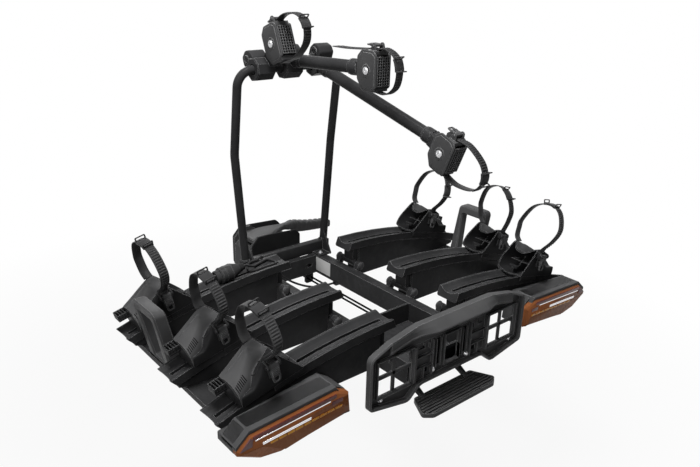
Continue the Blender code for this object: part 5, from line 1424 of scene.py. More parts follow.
@dataclass
class BikeArm:
    """Arm on the hoop's bar with its claw, tube, head, strap and lever.

    Attributes:
        number: Number of the arm, from one.
        x: Its place along the bar.
        elevation: Its slope upward, in degrees.
        reach: Distance from the bar to the head's bolt.
        tube_rise: Height of the tube's axis over the claw's middle.
        head_rise: Height of the bolt over the claw's middle.
        head_side: Distance of the head from the claw along X.
        pitch: The head's slope, in degrees.
        depth: Depth of the strap's loop.
        tail: Length of the strap's free tail.
        head: The head's sizes.
        claw: Half width across the claw's flats, and its width.
        lobe: Height, half depth and width of the lobe on the claw.
        tube: Radius of the tube.
        collar: Radius and length of a collar.
        tongue: Half width and end radius of the tongue.
    """

    number: int
    x: float
    elevation: float
    reach: float
    tube_rise: float
    head_rise: float
    head_side: float
    pitch: float
    depth: float
    tail: float
    head: Head = field(default_factory=Head)
    claw: tuple[float, float] = (0.030, 0.058)
    lobe: Point = (0.062, 0.025, 0.050)
    tube: float = 0.0172
    collar: tuple[float, float] = (0.0220, 0.030)
    tongue: tuple[float, float] = (0.018, 0.018)

    def arm_surface(self, hoop: Hoop) -> Surface:
        """Claw, tube, collars and tongue in the arm's frame, along -Y from the bar.

        The claw's outer radius at an angle is the flat's distance over the cosine of
        the angle from the middle of the nearest of eight flats.

        Args:
            hoop: The hoop that the claw holds.

        Returns:
            The closed surfaces.
        """
        flat, width = self.claw
        angle = np.linspace(0.0, math.tau, 64, endpoint=False)
        eighth = math.pi / 4
        around = spokes(angle)
        reach = flat / np.cos((angle + eighth / 2) % eighth - eighth / 2)
        inner = around * (hoop.radius + 0.0006)
        parts = [ring(around * reach[:, None], inner, "X", -width / 2, width / 2, 0.0030)]
        high, deep, wide = self.lobe
        outline = round_corners([
            (-deep, flat * 0.62), (deep, flat * 0.62), (deep, high * 0.70), (deep * 0.50, high),
            (-deep * 0.45, high), (-deep, high * 0.80)], 0.005, 4)
        parts.append(prism(outline, "X", -wide / 2, wide / 2, 0.0030))
        for sign in (1.0, -1.0):
            parts.append(turned([
                (wide / 2 - 0.001, 0.0125), (wide / 2 + 0.0016, 0.0122),
                (wide / 2 + 0.0022, 0.0112),
                (wide / 2 + 0.0022, 0.0080), (wide / 2 + 0.0006, 0.0074)],
                (0.0, 0.002, high * 0.66), (sign, 0.0, 0.0), 28))
        half, end_radius = self.tongue
        root = -self.reach + self.head.swing() + 0.0005
        collar_radius, collar_length = self.collar
        long_arm = root < -flat - collar_length
        tongue_root = root if long_arm else -flat + 0.0025
        turn = np.radians(np.linspace(90.0, 270.0, 17))
        tip = spokes(turn) * end_radius + (-self.reach, self.head_rise)
        outline = np.vstack((
            (tongue_root + 0.0025, self.tube_rise - end_radius),
            (tongue_root + 0.0025, self.tube_rise + end_radius), tip))
        parts.append(prism(outline, "X", self.head_side - half, self.head_side + half, 0.0025))
        if long_arm:
            start = np.array((0.0, -flat + 0.0075, self.tube_rise))
            end = np.array((self.head_side, root, self.tube_rise))
            ahead = (end - start) / np.linalg.norm(end - start)
            length = float(np.linalg.norm(end - start))
            size = self.tube
            parts.append(turned(
                [(0.0, size), (length * 0.5, size), (length - 0.0025, size)], start, ahead, 36))
            for place, sign in ((0.0, 1.0), (length, -1.0)):
                large = collar_radius * (0.92 if sign > 0 else 1.0)
                profile = [
                    (0.0, large - 0.0015), (0.0015, large), (collar_length - 0.008, large),
                    (collar_length - 0.0065, large - 0.0012),
                    (collar_length - 0.0025, large - 0.0016),
                    (collar_length, size + 0.0004)]
                parts.append(turned(
                    [(place + sign * along, radius) for along, radius in profile], start, ahead,
                    36))
        return join(parts)

    def build(self, shop: Workshop, hoop: Hoop, strap: Strap, ratchet: Ratchet) -> None:
        """Make the arm, its head, strap, pad, bolt and lever.

        Args:
            shop: Makes the pieces.
            hoop: The hoop that carries the arm.
            strap: Sizes of the strap.
            ratchet: Sizes of the ratchet.
        """
        name = str(self.number)
        tilt = math.radians(-self.elevation)
        base = Place((self.x, *hoop.bar), turn_x(tilt))
        bolt = base.carry(np.array((self.head_side, -self.reach, self.head_rise)))
        seat = Place(tuple(bolt), turn_x(math.radians(-self.pitch)))
        shop.piece(
            f"arm_{name}_tube", self.arm_surface(hoop).at(base), "powder", f"arm_{name}",
            (f"arm_{name}",))
        body = f"head_{name}"
        shell = self.head.shell(strap, ratchet).at(seat)
        shop.piece(f"head_{name}_shell", shell, "plastic", body, (f"head_{name}",))
        bars, back = self.head.grille()
        shop.piece(f"head_{name}_grille", bars.at(seat), "plastic", body)
        # Painted shade: the pad's sunk back behind the lattice is near black.
        shop.piece(f"head_{name}_pad", back.at(seat), "dark", body)
        outer = self.head.width / 2
        bolts = [
            turned([
                (outer - 0.001, 0.0100), (outer + 0.0018, 0.0100), (outer + 0.0024, 0.0093),
                (outer + 0.0024, 0.0070), (outer + 0.0034, 0.0064), (outer + 0.0034, 0.0036),
                (outer + 0.0012, 0.0033)], ORIGIN, (sign, 0.0, 0.0), 32).at(seat)
            for sign in (1.0, -1.0)]
        shop.piece(f"head_{name}_bolt", join(bolts), "steel", body)
        path = self.head.strap_path(strap, self.depth, self.tail)
        teeth = (0.02, 0.62) if not self.tail else (0.04, 0.80)
        shop.piece(
            f"head_strap_{name}_band", strap.band(path, seat, teeth), "strap", body,
            (f"head_strap_{name}",), sharp=50.0)
        start = 0.42 if not self.tail else 0.60
        end = start + 0.034 / (self.depth * 2 + 0.16 + self.tail)
        sleeve = strap.sleeve(path, seat, start, end)
        shop.piece(f"head_strap_{name}_sleeve", sleeve, "strap", body)
        y, z = self.head.axis(strap, ratchet)
        flip = Place((0.0, y, z), ((-1.0, 0.0, 0.0), (0.0, -1.0, 0.0), ALONG_Z))
        shop.piece(
            f"head_lever_{name}_blade", ratchet.lever().at(flip).at(seat), "plastic",
            f"head_lever_{name}", (f"head_lever_{name}",))


@dataclass
class WheelHolder:
    """Boot-shaped wheel holder on a tray, with its strap and ratchet.

    Attributes:
        side: Wing that it is on.
        row: Number of its tray, from nought.
        inner_x: Distance of its inner end from the middle plane.
        length: Its length.
        lean: Slope of its open rim.
        plus_y: Half width towards the car.
        taper: How much less that is at the toe.
        minus_y: Half width towards the rear.
        ridge: Height of the horn towards the car.
        saddle: Height between the horns.
        plate: Height of the horn towards the rear.
        toe: Height of the toe.
        wall: Thickness of the shell.
        keel: Depth of the keel in the trough.
        strap_x: Middle of the strap along the holder.
        loop: Outward slope of the strap's loop, its top, and its reach to both sides.
        sleeve: Share of the strap's length where its sleeve begins.
        swell: Size of the bulge towards the toe, one at the widest.
        lever_z: Height of the ratchet lever's axis.
        tail_z: Height of the strap's end.
        gap: Gap between seated pieces.
    """

    side: Side
    row: int
    inner_x: float
    loop: tuple[float, float, float, float]
    sleeve: float
    swell: float
    length: float = 0.162
    lean: float = 0.77
    plus_y: float = 0.052
    taper: float = 0.012
    minus_y: float = 0.042
    ridge: float = 0.080
    saddle: float = 0.060
    plate: float = 0.076
    toe: float = 0.044
    wall: float = 0.0035
    keel: float = 0.0035
    strap_x: float = 0.0741
    lever_z: float = 0.064
    tail_z: float = 0.030
    gap: float = 0.0003

    @property
    def name(self) -> str:
        """Name of this holder's place."""
        return f"{self.side.value}_{self.row + 1}"

    def sections(self, share: Array, arc: TrayArc) -> Array:
        """Cross-sections (y, height): flat below, a smooth cubic over the horns.

        Args:
            share: Shares of the length, from the rim at nought to the toe at one.
            arc: The tray that it rests on.

        Returns:
            Outlines of shape (shares, points, 2).
        """
        ridge = self.ridge + (self.toe - self.ridge) * share ** 1.4
        saddle = self.saddle + (self.toe * 0.9 - self.saddle) * share ** 0.85
        drop = np.clip((share - 0.25) / 0.5, 0.0, 1.0)
        side = self.plate + (self.toe * 0.55 - self.plate) * drop
        plus = self.plus_y - self.taper * share
        minus = np.full_like(share, self.minus_y)
        rest = np.full_like(share, arc.half - arc.lip)
        level = np.full_like(share, self.gap)
        keel = np.full_like(share, -self.keel)
        ten = np.full_like(share, 0.010)
        points = np.array([
            (-minus, level), (-rest, level), (-ten, keel), (ten, keel), (rest, level),
            (plus - 0.008, ridge * 0.08), (plus, ridge * 0.38), (plus - 0.002, ridge * 0.72),
            (plus - 0.006, ridge), (plus - 0.016, ridge),
            (plus - 0.028, saddle + (ridge - saddle) * 0.2),
            (ten * 0, saddle), (ten * -1.4, saddle + (side - saddle) * 0.3), (-minus + 0.014, side),
            (-minus + 0.002, side), (-minus, side * 0.6)])
        count = len(share)
        flat = points.reshape(len(points), -1)
        over = smooth_path(np.vstack((flat[4:], flat[:1])), 4)[:-1]
        loops = np.vstack((flat[:4], over)).reshape(-1, 2, count)
        return np.moveaxis(loops, 2, 0)

    def shell(self, arc: TrayArc) -> Surface:
        """Shell: the outer sections from toe to rim, then the inner ones back in.

        A point's distance along the tray is its section's share of the length plus
        the rim's lean times its height, fading out at the toe.

        Args:
            arc: The tray that it rests on.

        Returns:
            The closed surface in the holder's frame.
        """
        outside = np.linspace(0.0, 1.0, 31)
        inside = np.linspace(0.74, 0.0, 19)
        outer = self.sections(outside, arc)
        inner = drawn_in(self.sections(inside, arc), self.wall)
        end = outer[-1:]
        eased = np.concatenate((drawn_in(end, 0.0008), drawn_in(end, 0.0022)))
        loops = np.concatenate((inner, outer, eased))
        share = np.concatenate((inside, outside, (1.0, 1.0)))
        extra = np.concatenate((np.zeros(len(inside) + len(outside)), (0.0012, 0.0016)))
        y, height = loops[..., 0], loops[..., 1]
        past = extra[:, None] - 0.0016 * (share[:, None] > 0.99)
        x = self.along(share[:, None], height) + past
        return grid(np.stack((x, y, height), axis=-1))

    def calf_height(self, share: Array, across: Array) -> tuple[Array, Array]:
        """Place and height of the bulge that runs from the horn to the toe.

        Its top follows the horn's ridge and stands up to five millimetres over it towards
        the toe, and its height falls off across it by one minus the square, to the power 0.31.

        Args:
            share: Shares of the length.
            across: Places across it, from one on the side towards the car to minus one.

        Returns:
            The distances y and the heights.
        """
        ridge = self.ridge + (self.toe - self.ridge) * share ** 1.4
        blend = np.clip((share - 0.05) / 0.30, 0.0, 1.0)
        top = ridge + 0.005 * self.swell * blend ** 2 * (3 - 2 * blend)
        half = (0.019 + 0.021 * share ** 1.2) * self.swell
        foot = 0.0123
        y = self.plus_y - 0.004 - self.taper * share - half + half * across
        return y, foot + (top - foot) * np.maximum(0.0, 1 - across ** 2) ** 0.31

    def along(self, share: Array, height: Array) -> Array:
        """Distance along the holder of a point at a share of the length and a height."""
        return self.length * share + self.lean * (1 - share) * np.maximum(height, 0.0)

    def calf(self, arc: TrayArc) -> Surface:
        """Bulge as a skin over the shell: its own height, and below it the shell's.

        It rises out of the shell over the first third of the length, so that the rim's
        hollow stays open.

        Args:
            arc: The tray that the holder rests on.

        Returns:
            The closed surface in the holder's frame.
        """
        share = np.linspace(0.02, 0.992, 33)
        across = np.cos(np.linspace(0.12, math.pi, 31))
        y, high = self.calf_height(share[:, None], across[None])
        loops = self.sections(share, arc)[:, 14:, :]
        low = np.stack([
            np.interp(row, loop[::-1, 0], loop[::-1, 1]) for row, loop in zip(y, loops)])
        rise = np.clip((share[:, None] - 0.08) / 0.30, 0.0, 1.0)
        high = low + 0.0003 + np.maximum(high - low - 0.0003, 0.0) * rise ** 2 * (3 - 2 * rise)
        heights = np.hstack((high, low[:, ::-1] - 0.0016))
        sides = np.hstack((y, y[:, ::-1]))
        return grid(np.stack((self.along(share[:, None], heights), sides, heights), axis=-1))

    def oval(self, arc: TrayArc) -> Surface:
        """Oval rim that lies on the boot's slope towards the rear.

        The oval's points lie on the shell: the share of the length follows a cosine and
        the place round the section a sine.

        Args:
            arc: The tray that the holder rests on.

        Returns:
            The closed surface in the holder's frame.
        """
        angle = np.linspace(0.0, math.tau, 48, endpoint=False)
        along = 0.46 + 0.16 * np.cos(angle)
        around = 36.0 + 3.5 * np.sin(angle)
        below = around.astype(int)
        part = (around - below)[:, None]
        loops = self.sections(along, arc)
        row = np.arange(len(angle))
        flat = loops[row, below] * (1 - part) + loops[row, below + 1] * part
        path = np.column_stack((self.along(along, flat[:, 1]), flat))
        return tube(path, 0.0014, (0.2, -0.5, 0.8), 10, True)

    def marks(self) -> Surface:
        """Scale of short strokes across the bulge's slope towards the rear, near the toe.

        Returns:
            The closed surfaces in its own frame.
        """
        across = np.linspace(-0.62, -0.90, 9)
        strokes = []
        for share in np.linspace(0.74, 0.96, 7):
            y, height = self.calf_height(np.full(9, share), across)
            strokes.append(np.column_stack((self.along(share, height), y, height)))
        return join([tube(stroke, 0.0009, ALONG_X, 8) for stroke in strokes])

    def lever_seat(self, strap: Strap, ratchet: Ratchet) -> Place:
        """Frame of the ratchet on the side towards the rear."""
        y = -self.minus_y - self.gap - strap.thickness - ratchet.rise + 0.001
        return Place((self.strap_x, y, self.lever_z), turn_x(math.pi / 2))

    def fittings(self, strap: Strap, ratchet: Ratchet) -> Surface:
        """Ribs in the boot, clamp stem, skirt, comb and ratchet ears.

        Args:
            strap: Sizes of the strap.
            ratchet: Sizes of the ratchet.

        Returns:
            The closed surfaces in its own frame.
        """
        rib = [
            (0.030 + self.lean * 0.002, 0.002), (0.030 + self.lean * 0.050, 0.050),
            (0.115, 0.044), (0.115, 0.002)]
        parts = [prism(rib, "Y", -0.0012, 0.0012, 0.0004)]
        parts.append(block((0.052, -0.037, 0.029), (0.110, 0.037, 0.0315), 0.0004))
        parts.append(block((0.014, -0.0040, -0.0145), (0.040, 0.0040, 0.016), 0.001))
        knob = round_corners(oblong(0.014, -0.014, 0.027, 0.014), 0.004, 4)
        parts.append(prism(knob, "Z", 0.0135, 0.022, 0.0012))
        top = self.toe - 0.002
        far = self.plus_y - self.taper - 0.004
        near = far - 0.030
        start, stop = self.length - 0.0025, self.length + 0.028
        parts.append(block((start, near, top - 0.018), (stop, far, top - 0.0125), 0.0008))
        for x in np.linspace(start, stop - 0.0022, 5):
            parts.append(block((x, near, top - 0.014), (x + 0.0022, far, top), 0.0005, 0.0005))
        for y in (near, far - 0.0024):
            parts.append(block((start, y, top - 0.014), (stop, y + 0.0024, top), 0.0005, 0.0005))
        parts.append(block(
            (0.004, -self.minus_y, -0.012), (0.080, -self.minus_y + 0.0035, 0.006), 0.0008))
        parts.append(ratchet.ears(strap).at(self.lever_seat(strap, ratchet)))
        return join(parts)

    def strap_path(self, strap: Strap) -> Array:
        """Middle line of the strap: from the ridge, over the tyre, to the ratchet.

        Args:
            strap: Sizes of the strap.

        Returns:
            Points (x, y, z) in the holder's frame.
        """
        lift_by = self.gap + strap.thickness / 2
        lean, top, plus, minus = self.loop
        start = self.plus_y - 0.011
        down = -self.minus_y - lift_by
        rise = top - self.ridge
        route = np.array((
            (start - 0.003, self.ridge + lift_by),
            (start + (plus - start) * 0.5, self.ridge + rise * 0.12),
            (plus - 0.004, self.ridge + rise * 0.30), (plus, self.ridge + rise * 0.50),
            (plus * 0.72, top - rise * 0.14), (0.0, top), (-minus * 0.60, top - rise * 0.12),
            (-minus, self.ridge + rise * 0.54), (-minus * 0.94, self.ridge + rise * 0.26),
            (down - 0.0012, self.plate + 0.004), (down, self.lever_z), (down, self.tail_z)))
        path = smooth_path(route, 10)
        over = np.maximum(0.0, path[:, 1] - self.ridge - 2 * strap.thickness)
        return np.column_stack((self.strap_x + lean * over, path))

    def build(self, shop: Workshop, arc: TrayArc, strap: Strap, ratchet: Ratchet) -> None:
        """Make the boot, its strap and its lever.

        Args:
            shop: Makes the pieces.
            arc: The arc that the trays follow.
            strap: Sizes of the strap.
            ratchet: Sizes of the ratchet.
        """
        body = f"holder_{self.name}"
        place = arc.seat(self.side, self.row, self.inner_x, self.length)
        shop.piece(
            f"wheel_holder_{self.name}_boot", self.shell(arc).at(place), "shell", body,
            (f"wheel_holder_{self.name}",), sharp=50.0)
        fittings = self.fittings(strap, ratchet) + self.oval(arc)
        shop.piece(
            f"wheel_holder_{self.name}_fittings", fittings.at(place), "shell", body, sharp=50.0)
        shop.piece(
            f"wheel_holder_{self.name}_calf", self.calf(arc).at(place), "plastic", body, sharp=50.0)
        shop.piece(f"wheel_holder_{self.name}_marks", self.marks().at(place), "dark", body)
        path = self.strap_path(strap)
        shop.piece(
            f"wheel_strap_{self.name}_band", strap.band(path, place, (0.52, 0.97)), "strap", body,
            (f"wheel_strap_{self.name}",), sharp=50.0)
        shop.piece(
            f"wheel_strap_{self.name}_sleeve",
            strap.sleeve(path, place, self.sleeve, self.sleeve + 0.10),
            "strap", body)
        seat = self.lever_seat(strap, ratchet)
        shop.piece(
            f"ratchet_lever_{self.name}_blade", ratchet.lever().at(seat).at(place), "plastic",
            f"ratchet_{self.name}", (f"ratchet_lever_{self.name}",))


@dataclass
class PlateHolder:
    """Number plate holder: a rounded rim, a windowed panel and a brow.

    Attributes:
        face_y: Front of the rim.
        depth: Depth of the rim.
        floor: Thickness of the panel.
        rim: Width of the rim.
        pane: Inner, outer, lower and upper edge of the windows on each side.
        bar: Width of the windows' cross bars.
        middle: Half width, lower and upper edge of the middle window.
        brow: Half width, reach, drop and lip of the brow.
        spacer: Half width and upper edge of the spacer behind, and its end along Y.
    """

    face_y: float = -0.8224
    depth: float = 0.020
    floor: float = 0.005
    rim: float = 0.008
    pane: tuple[float, float, float, float] = (0.135, 0.246, -0.010, 0.086)
    bar: float = 0.009
    middle: tuple[float, float, float] = (0.0265, 0.002, 0.083)
    brow: tuple[float, float, float, float] = (0.086, 0.027, 0.016, 0.005)
    spacer: tuple[float, float, float] = (0.090, 0.029, -0.7903)

    def corners(self) -> Array:
        """Corners (x, z) of the rim, right half first.

        Returns:
            Points of shape (12, 2).
        """
        half = np.array((
            (0.130, 0.146), (0.215, 0.128), (0.2735, 0.105), (0.2735, -0.031), (0.150, -0.054),
            (0.113, -0.022)))
        return np.vstack((half, half[::-1] * (-1.0, 1.0)))

    def panel(self) -> Surface:
        """Panel behind the rim, as strips between its windows, with ribs on it.

        Returns:
            The closed surfaces.
        """
        back = self.face_y + self.depth
        front = back - self.floor
        inner, outer, low, high = self.pane
        rim = drawn_in(self.corners(), self.rim - 0.002)
        top, bottom = rim[:3], rim[3:6]
        wide = float(rim[2, 0])
        strips = [
            np.vstack((((wide, high),), top[::-1], top * (-1.0, 1.0), ((-wide, high),))),
            np.vstack((((-wide, low),), bottom * (-1.0, 1.0), bottom[::-1], ((wide, low),)))]
        parts = [prism(strip, "Y", front, back, 0.0005) for strip in strips]
        half, sill, head = self.middle
        across = (inner + outer) / 2
        level = (low + high) / 2
        for side in BOTH_SIDES:
            boxes = [
                ((outer, low), (wide, high)), ((half, low), (inner, high)),
                ((across - self.bar / 2, low), (across + self.bar / 2, high)),
                ((inner, level - self.bar / 2), (outer, level + self.bar / 2))]
            for (x0, z0), (x1, z1) in boxes:
                parts.append(block(
                    (x0 - 0.0005, front, z0 - 0.0005), (x1 + 0.0005, back, z1 + 0.0005),
                    0.0005).at(side))
            ribs = [
                ((half, 0.000, half + 0.0020), (0.009, 0.084)),
                ((0.0385, 0.004, 0.0400), (0.007, 0.081)),
                ((0.0540, 0.004, 0.0560), (0.007, 0.081)), ((0.0675, low, 0.0695), (0.009, high)),
                ((0.0695, 0.049, 0.126), (0.008, 0.0515)),
                ((0.0695, 0.019, 0.126), (0.008, 0.0212)),
                ((0.0960, low, 0.0978), (0.008, 0.019)), ((0.0780, 0.066, 0.0795), (0.006, 0.080)),
                ((0.0960, 0.070, 0.0975), (0.006, 0.084)),
                ((0.0975, 0.070, 0.112), (0.006, 0.0718)),
                ((0.126, low, 0.1335), (0.0115, high)),
                ((outer, low, outer + 0.0020), (0.010, high)),
                ((inner, high, outer), (0.010, high + 0.0020)),
                ((inner, low - 0.0020, outer), (0.010, low)),
                ((inner + 0.006, 0.052, inner + 0.0078), (0.004, 0.074))]
            for (x0, z0, x1), (rise, z1) in ribs:
                parts.append(block(
                    (x0, front - rise, z0), (x1, front + 0.001, z1), 0.0004, 0.0004).at(side))
        for z0, z1 in ((low, sill), (head, high)):
            parts.append(block((-half, front, z0), (half, back, z1), 0.0005))
        for z in (sill - 0.0020, head):
            parts.append(block(
                (-half, front - 0.009, z), (half, front + 0.001, z + 0.0020), 0.0004, 0.0004))
        return join(parts)

    def brow_surface(self) -> Surface:
        """Brow over the plate: a profile along X whose reach fades out at both ends.

        Its reach is full in the middle and falls in a straight line to the rim; its top
        follows the rim's upper edge.

        Returns:
            The closed surface.
        """
        wide, reach, drop, lip = self.brow
        fade, end_reach, end_drop = 0.152, 0.0015, 0.022
        (crest_x, crest_z), (end_x, end_z) = self.corners()[:2]
        x = np.unique(np.concatenate((np.linspace(-end_x, end_x, 87), (-wide, wide, -fade, fade))))
        near = np.abs(x)
        top = np.interp(near, (0.0, crest_x, end_x), (crest_z, crest_z, end_z))
        share = np.clip((fade - near) / (fade - wide), 0.0, 1.0)
        out = end_reach + (reach - end_reach) * share
        down = end_drop + (drop - end_drop) * share
        face = np.full_like(x, self.face_y)
        profile = np.array([
            (face + 0.006, top - 0.0005), (face + 0.001, top),
            (face - out * 0.5, top - down * 0.46),
            (face - out + 0.0015, top - down + 0.0006), (face - out, top - down - 0.0012),
            (face - out, top - down - lip + 0.0008), (face - out + 0.0012, top - down - lip),
            (face + 0.006, top - down - lip - 0.006)])
        along = np.broadcast_to(x, (len(profile), len(x)))
        points = np.stack((along, profile[:, 0], profile[:, 1]), axis=-1)
        return grid(np.moveaxis(points, 0, 1))

    def build(self, shop: Workshop) -> None:
        """Make the holder and its screws.

        Args:
            shop: Makes the pieces.
        """
        back = self.face_y + self.depth
        outer = round_corners(self.corners(), 0.012, 6)
        inner = drawn_in(outer, self.rim)
        half, top, end = self.spacer
        body = ring(outer, inner, "Y", self.face_y, back, 0.0030) + self.panel()
        shop.piece("plate_holder_frame", body, "plastic", "platform", ("plate_holder",))
        shop.piece("plate_holder_brow", self.brow_surface(), "plastic", "platform", sharp=7.0)
        front = back - self.floor
        # Painted shade: the spacer behind the panel and patches on the panel's recess floors are
        # near black, for the shade there.
        shadow = [block((-half, back + 0.0002, -0.014), (half, end, top), 0.0015)]
        for side in BOTH_SIDES:
            for x0, z0, x1, z1 in ((0.0400, 0.006, 0.0540, 0.079), (0.0800, 0.0, 0.0930, 0.016)):
                shade_patch = block((x0, front - 0.0004, z0), (x1, front + 0.001, z1), 0.0002, 0.0002)
                shadow.append(shade_patch.at(side))
        shop.piece("plate_holder_painted_shade", join(shadow), "dark", "platform")
        screws = [
            screw((x, front, z), (0.0, -1.0, 0.0), 0.0046, 0.0060)
            for x, z in ((-0.2320, -0.018), (-0.0610, -0.003), (0.0610, -0.003), (0.2320, -0.018))]
        shop.piece("plate_holder_screws", join(screws), "steel", "platform")


@dataclass
class Lamp:
    """Rear lamp: a housing with a slab over the lens, the lens and what shows through it.

    Attributes:
        side: Wing that it is on.
        front_y: Front of the housing, on the tray's side.
        near_y: Back of the lens.
        depth: Depth of the lens.
        reach: How far the slab hangs over the lens.
        slab: Thickness of the slab.
        rim: Bevel of the lens' rim.
        shelf: Depth of the sloped strip along the tray.
        relief: How far the outer top corner goes down there.
        corners: Outline (x, z) of the housing: inner top, round below, to the outer top.
    """

    side: Side
    front_y: float = -0.724751
    near_y: float = -0.785051
    depth: float = 0.0177
    reach: float = 0.012
    slab: float = 0.0083
    rim: float = 0.006
    shelf: float = 0.016
    relief: float = -0.0235
    corners: tuple[tuple[float, float], ...] = (
        (0.353, 0.0600), (0.317, 0.0360), (0.311, -0.0180), (0.500, -0.0370), (0.548, -0.0290),
        (0.604, 0.0010), (0.604, 0.0215), (0.573, 0.0478))

    def lens_corners(self) -> Array:
        """Outline (x, z) of the lens: the housing's, lowered by the slab along its top."""
        lowered = np.isin(np.arange(len(self.corners)), (0, 6, 7))[:, None]
        return np.array(self.corners) - lowered * (0.0, self.slab)

    def housing(self) -> Surface:
        """Housing behind the lens, with the slab that hangs over it.

        The body is the outline at five depths; towards the tray its outer top corner goes
        down to a straight slope, which leaves room for the wheel holder that slides past.

        Returns:
            The closed surfaces of the right lamp.
        """
        outline = np.array(self.corners)
        sloped = outline + np.array((0.0, self.relief)) * (np.arange(len(outline)) == 7)[:, None]
        full = round_corners(outline, 0.003, 3)
        low = round_corners(sloped, 0.003, 3)
        loops = np.stack((drawn_in(full, 0.0012), full, full, low, drawn_in(low, 0.0012)))
        far, near = self.near_y + 0.0003, self.front_y
        levels = np.array((far, far + 0.0012, near - self.shelf, near - 0.0012, near))
        body = grid(lift(loops, "Y", levels[:, None]))
        lens = self.lens_corners()
        strip = np.vstack((outline[[0, 7, 6]], lens[[6, 7, 0]], ((0.343, 0.0462),)))
        slab = prism(strip, "Y", self.near_y - self.reach, near - self.shelf, 0.0010)
        return body + slab

    def lens(self) -> Surface:
        """Lens: its outline at four depths, drawn in towards the rear.

        Returns:
            The closed surface of the right lamp.
        """
        outline = drawn_in(round_corners(self.lens_corners(), 0.003, 3), 0.0006)
        far = self.near_y - self.depth
        levels = np.array((self.near_y, far + self.rim, far + 0.0010, far))
        insets = np.array((0.0, 0.0, self.rim * 0.72, self.rim * 0.95))
        unit = outline - drawn_in(outline, 1.0)
        loops = outline[None] - insets[:, None, None] * unit[None]
        return grid(lift(loops, "Y", levels[:, None]))

    def panel(self, corners: list[tuple[float, float]], rise: float) -> Surface:
        """Raised panel on the lens' face.

        Args:
            corners: Its outline (x, z).
            rise: How far it stands out of the lens.

        Returns:
            The closed surface of the right lamp.
        """
        face = self.near_y - self.depth
        return prism(round_corners(corners, 0.0010, 2), "Y", face - rise, face + 0.0015, 0.0003)

    def strip(self, start: float, stop: float, drop: float, high: float, rise: float) -> Surface:
        """Raised bar along the lens' upper edge.

        Args:
            start: Where it begins along X.
            stop: Where it ends.
            drop: Distance of its upper edge from the lens' upper edge.
            high: Its height.
            rise: How far it stands out of the lens.

        Returns:
            The closed surface of the right lamp.
        """
        edge = self.lens_corners()
        top = np.interp((start, stop), edge[[0, 7], 0], edge[[0, 7], 1]) - drop
        corners = [(start, top[0] - high), (stop, top[1] - high), (stop, top[1]), (start, top[0])]
        return self.panel(corners, rise)

    def dashes(self) -> Surface:
        """Row of bright dashes below the strips, each a little raised."""
        starts = np.linspace(0.340, 0.508, 9)
        return join([self.strip(x, x + 0.0185, 0.0375, 0.0058, 0.0012) for x in starts])

    def build(self, shop: Workshop) -> None:
        """Make the housing, the lens and what shows through it.

        Args:
            shop: Makes the pieces.
        """
        name = self.side.value
        body = f"wing_{name}"
        place = Place(mirror=self.side is Side.LEFT)
        shop.piece(
            f"lamp_housing_{name}_case", self.housing().at(place), "plastic", body,
            (f"lamp_housing_{name}",))
        shop.piece(
            f"lamp_lens_{name}_body", self.lens().at(place), "amber", body, (f"lamp_lens_{name}",))
        chrome = join([
            self.strip(0.372, 0.563, 0.0145, 0.0024, 0.0016),
            self.strip(0.424, 0.546, 0.0285, 0.0030, 0.0016),
            self.strip(0.424, 0.545, 0.0325, 0.0024, 0.0014)])
        brown = [(0.330, -0.010), (0.490, -0.0315), (0.545, 0.001), (0.405, 0.004), (0.335, 0.0085)]
        rose = [(0.5985, 0.0105), (0.574, 0.0335), (0.568, 0.0290), (0.570, 0.0130)]
        parts = {
            "red": (self.strip(0.356, 0.568, 0.0048, 0.0090, 0.0012), "red"),
            "dark": (self.strip(0.338, 0.368, 0.0190, 0.0100, 0.0010), "red"),
            "strips": (chrome, "chrome"),
            "dashes": (self.dashes(), "orange"),
            "panel": (self.panel(brown, 0.0006), "brown"),
            "reflector": (self.panel(rose, 0.0012), "reflector"),
        }
        for key, (shape, finish) in parts.items():
            shop.piece(f"lamp_{name}_{key}", shape.at(place), finish, body)


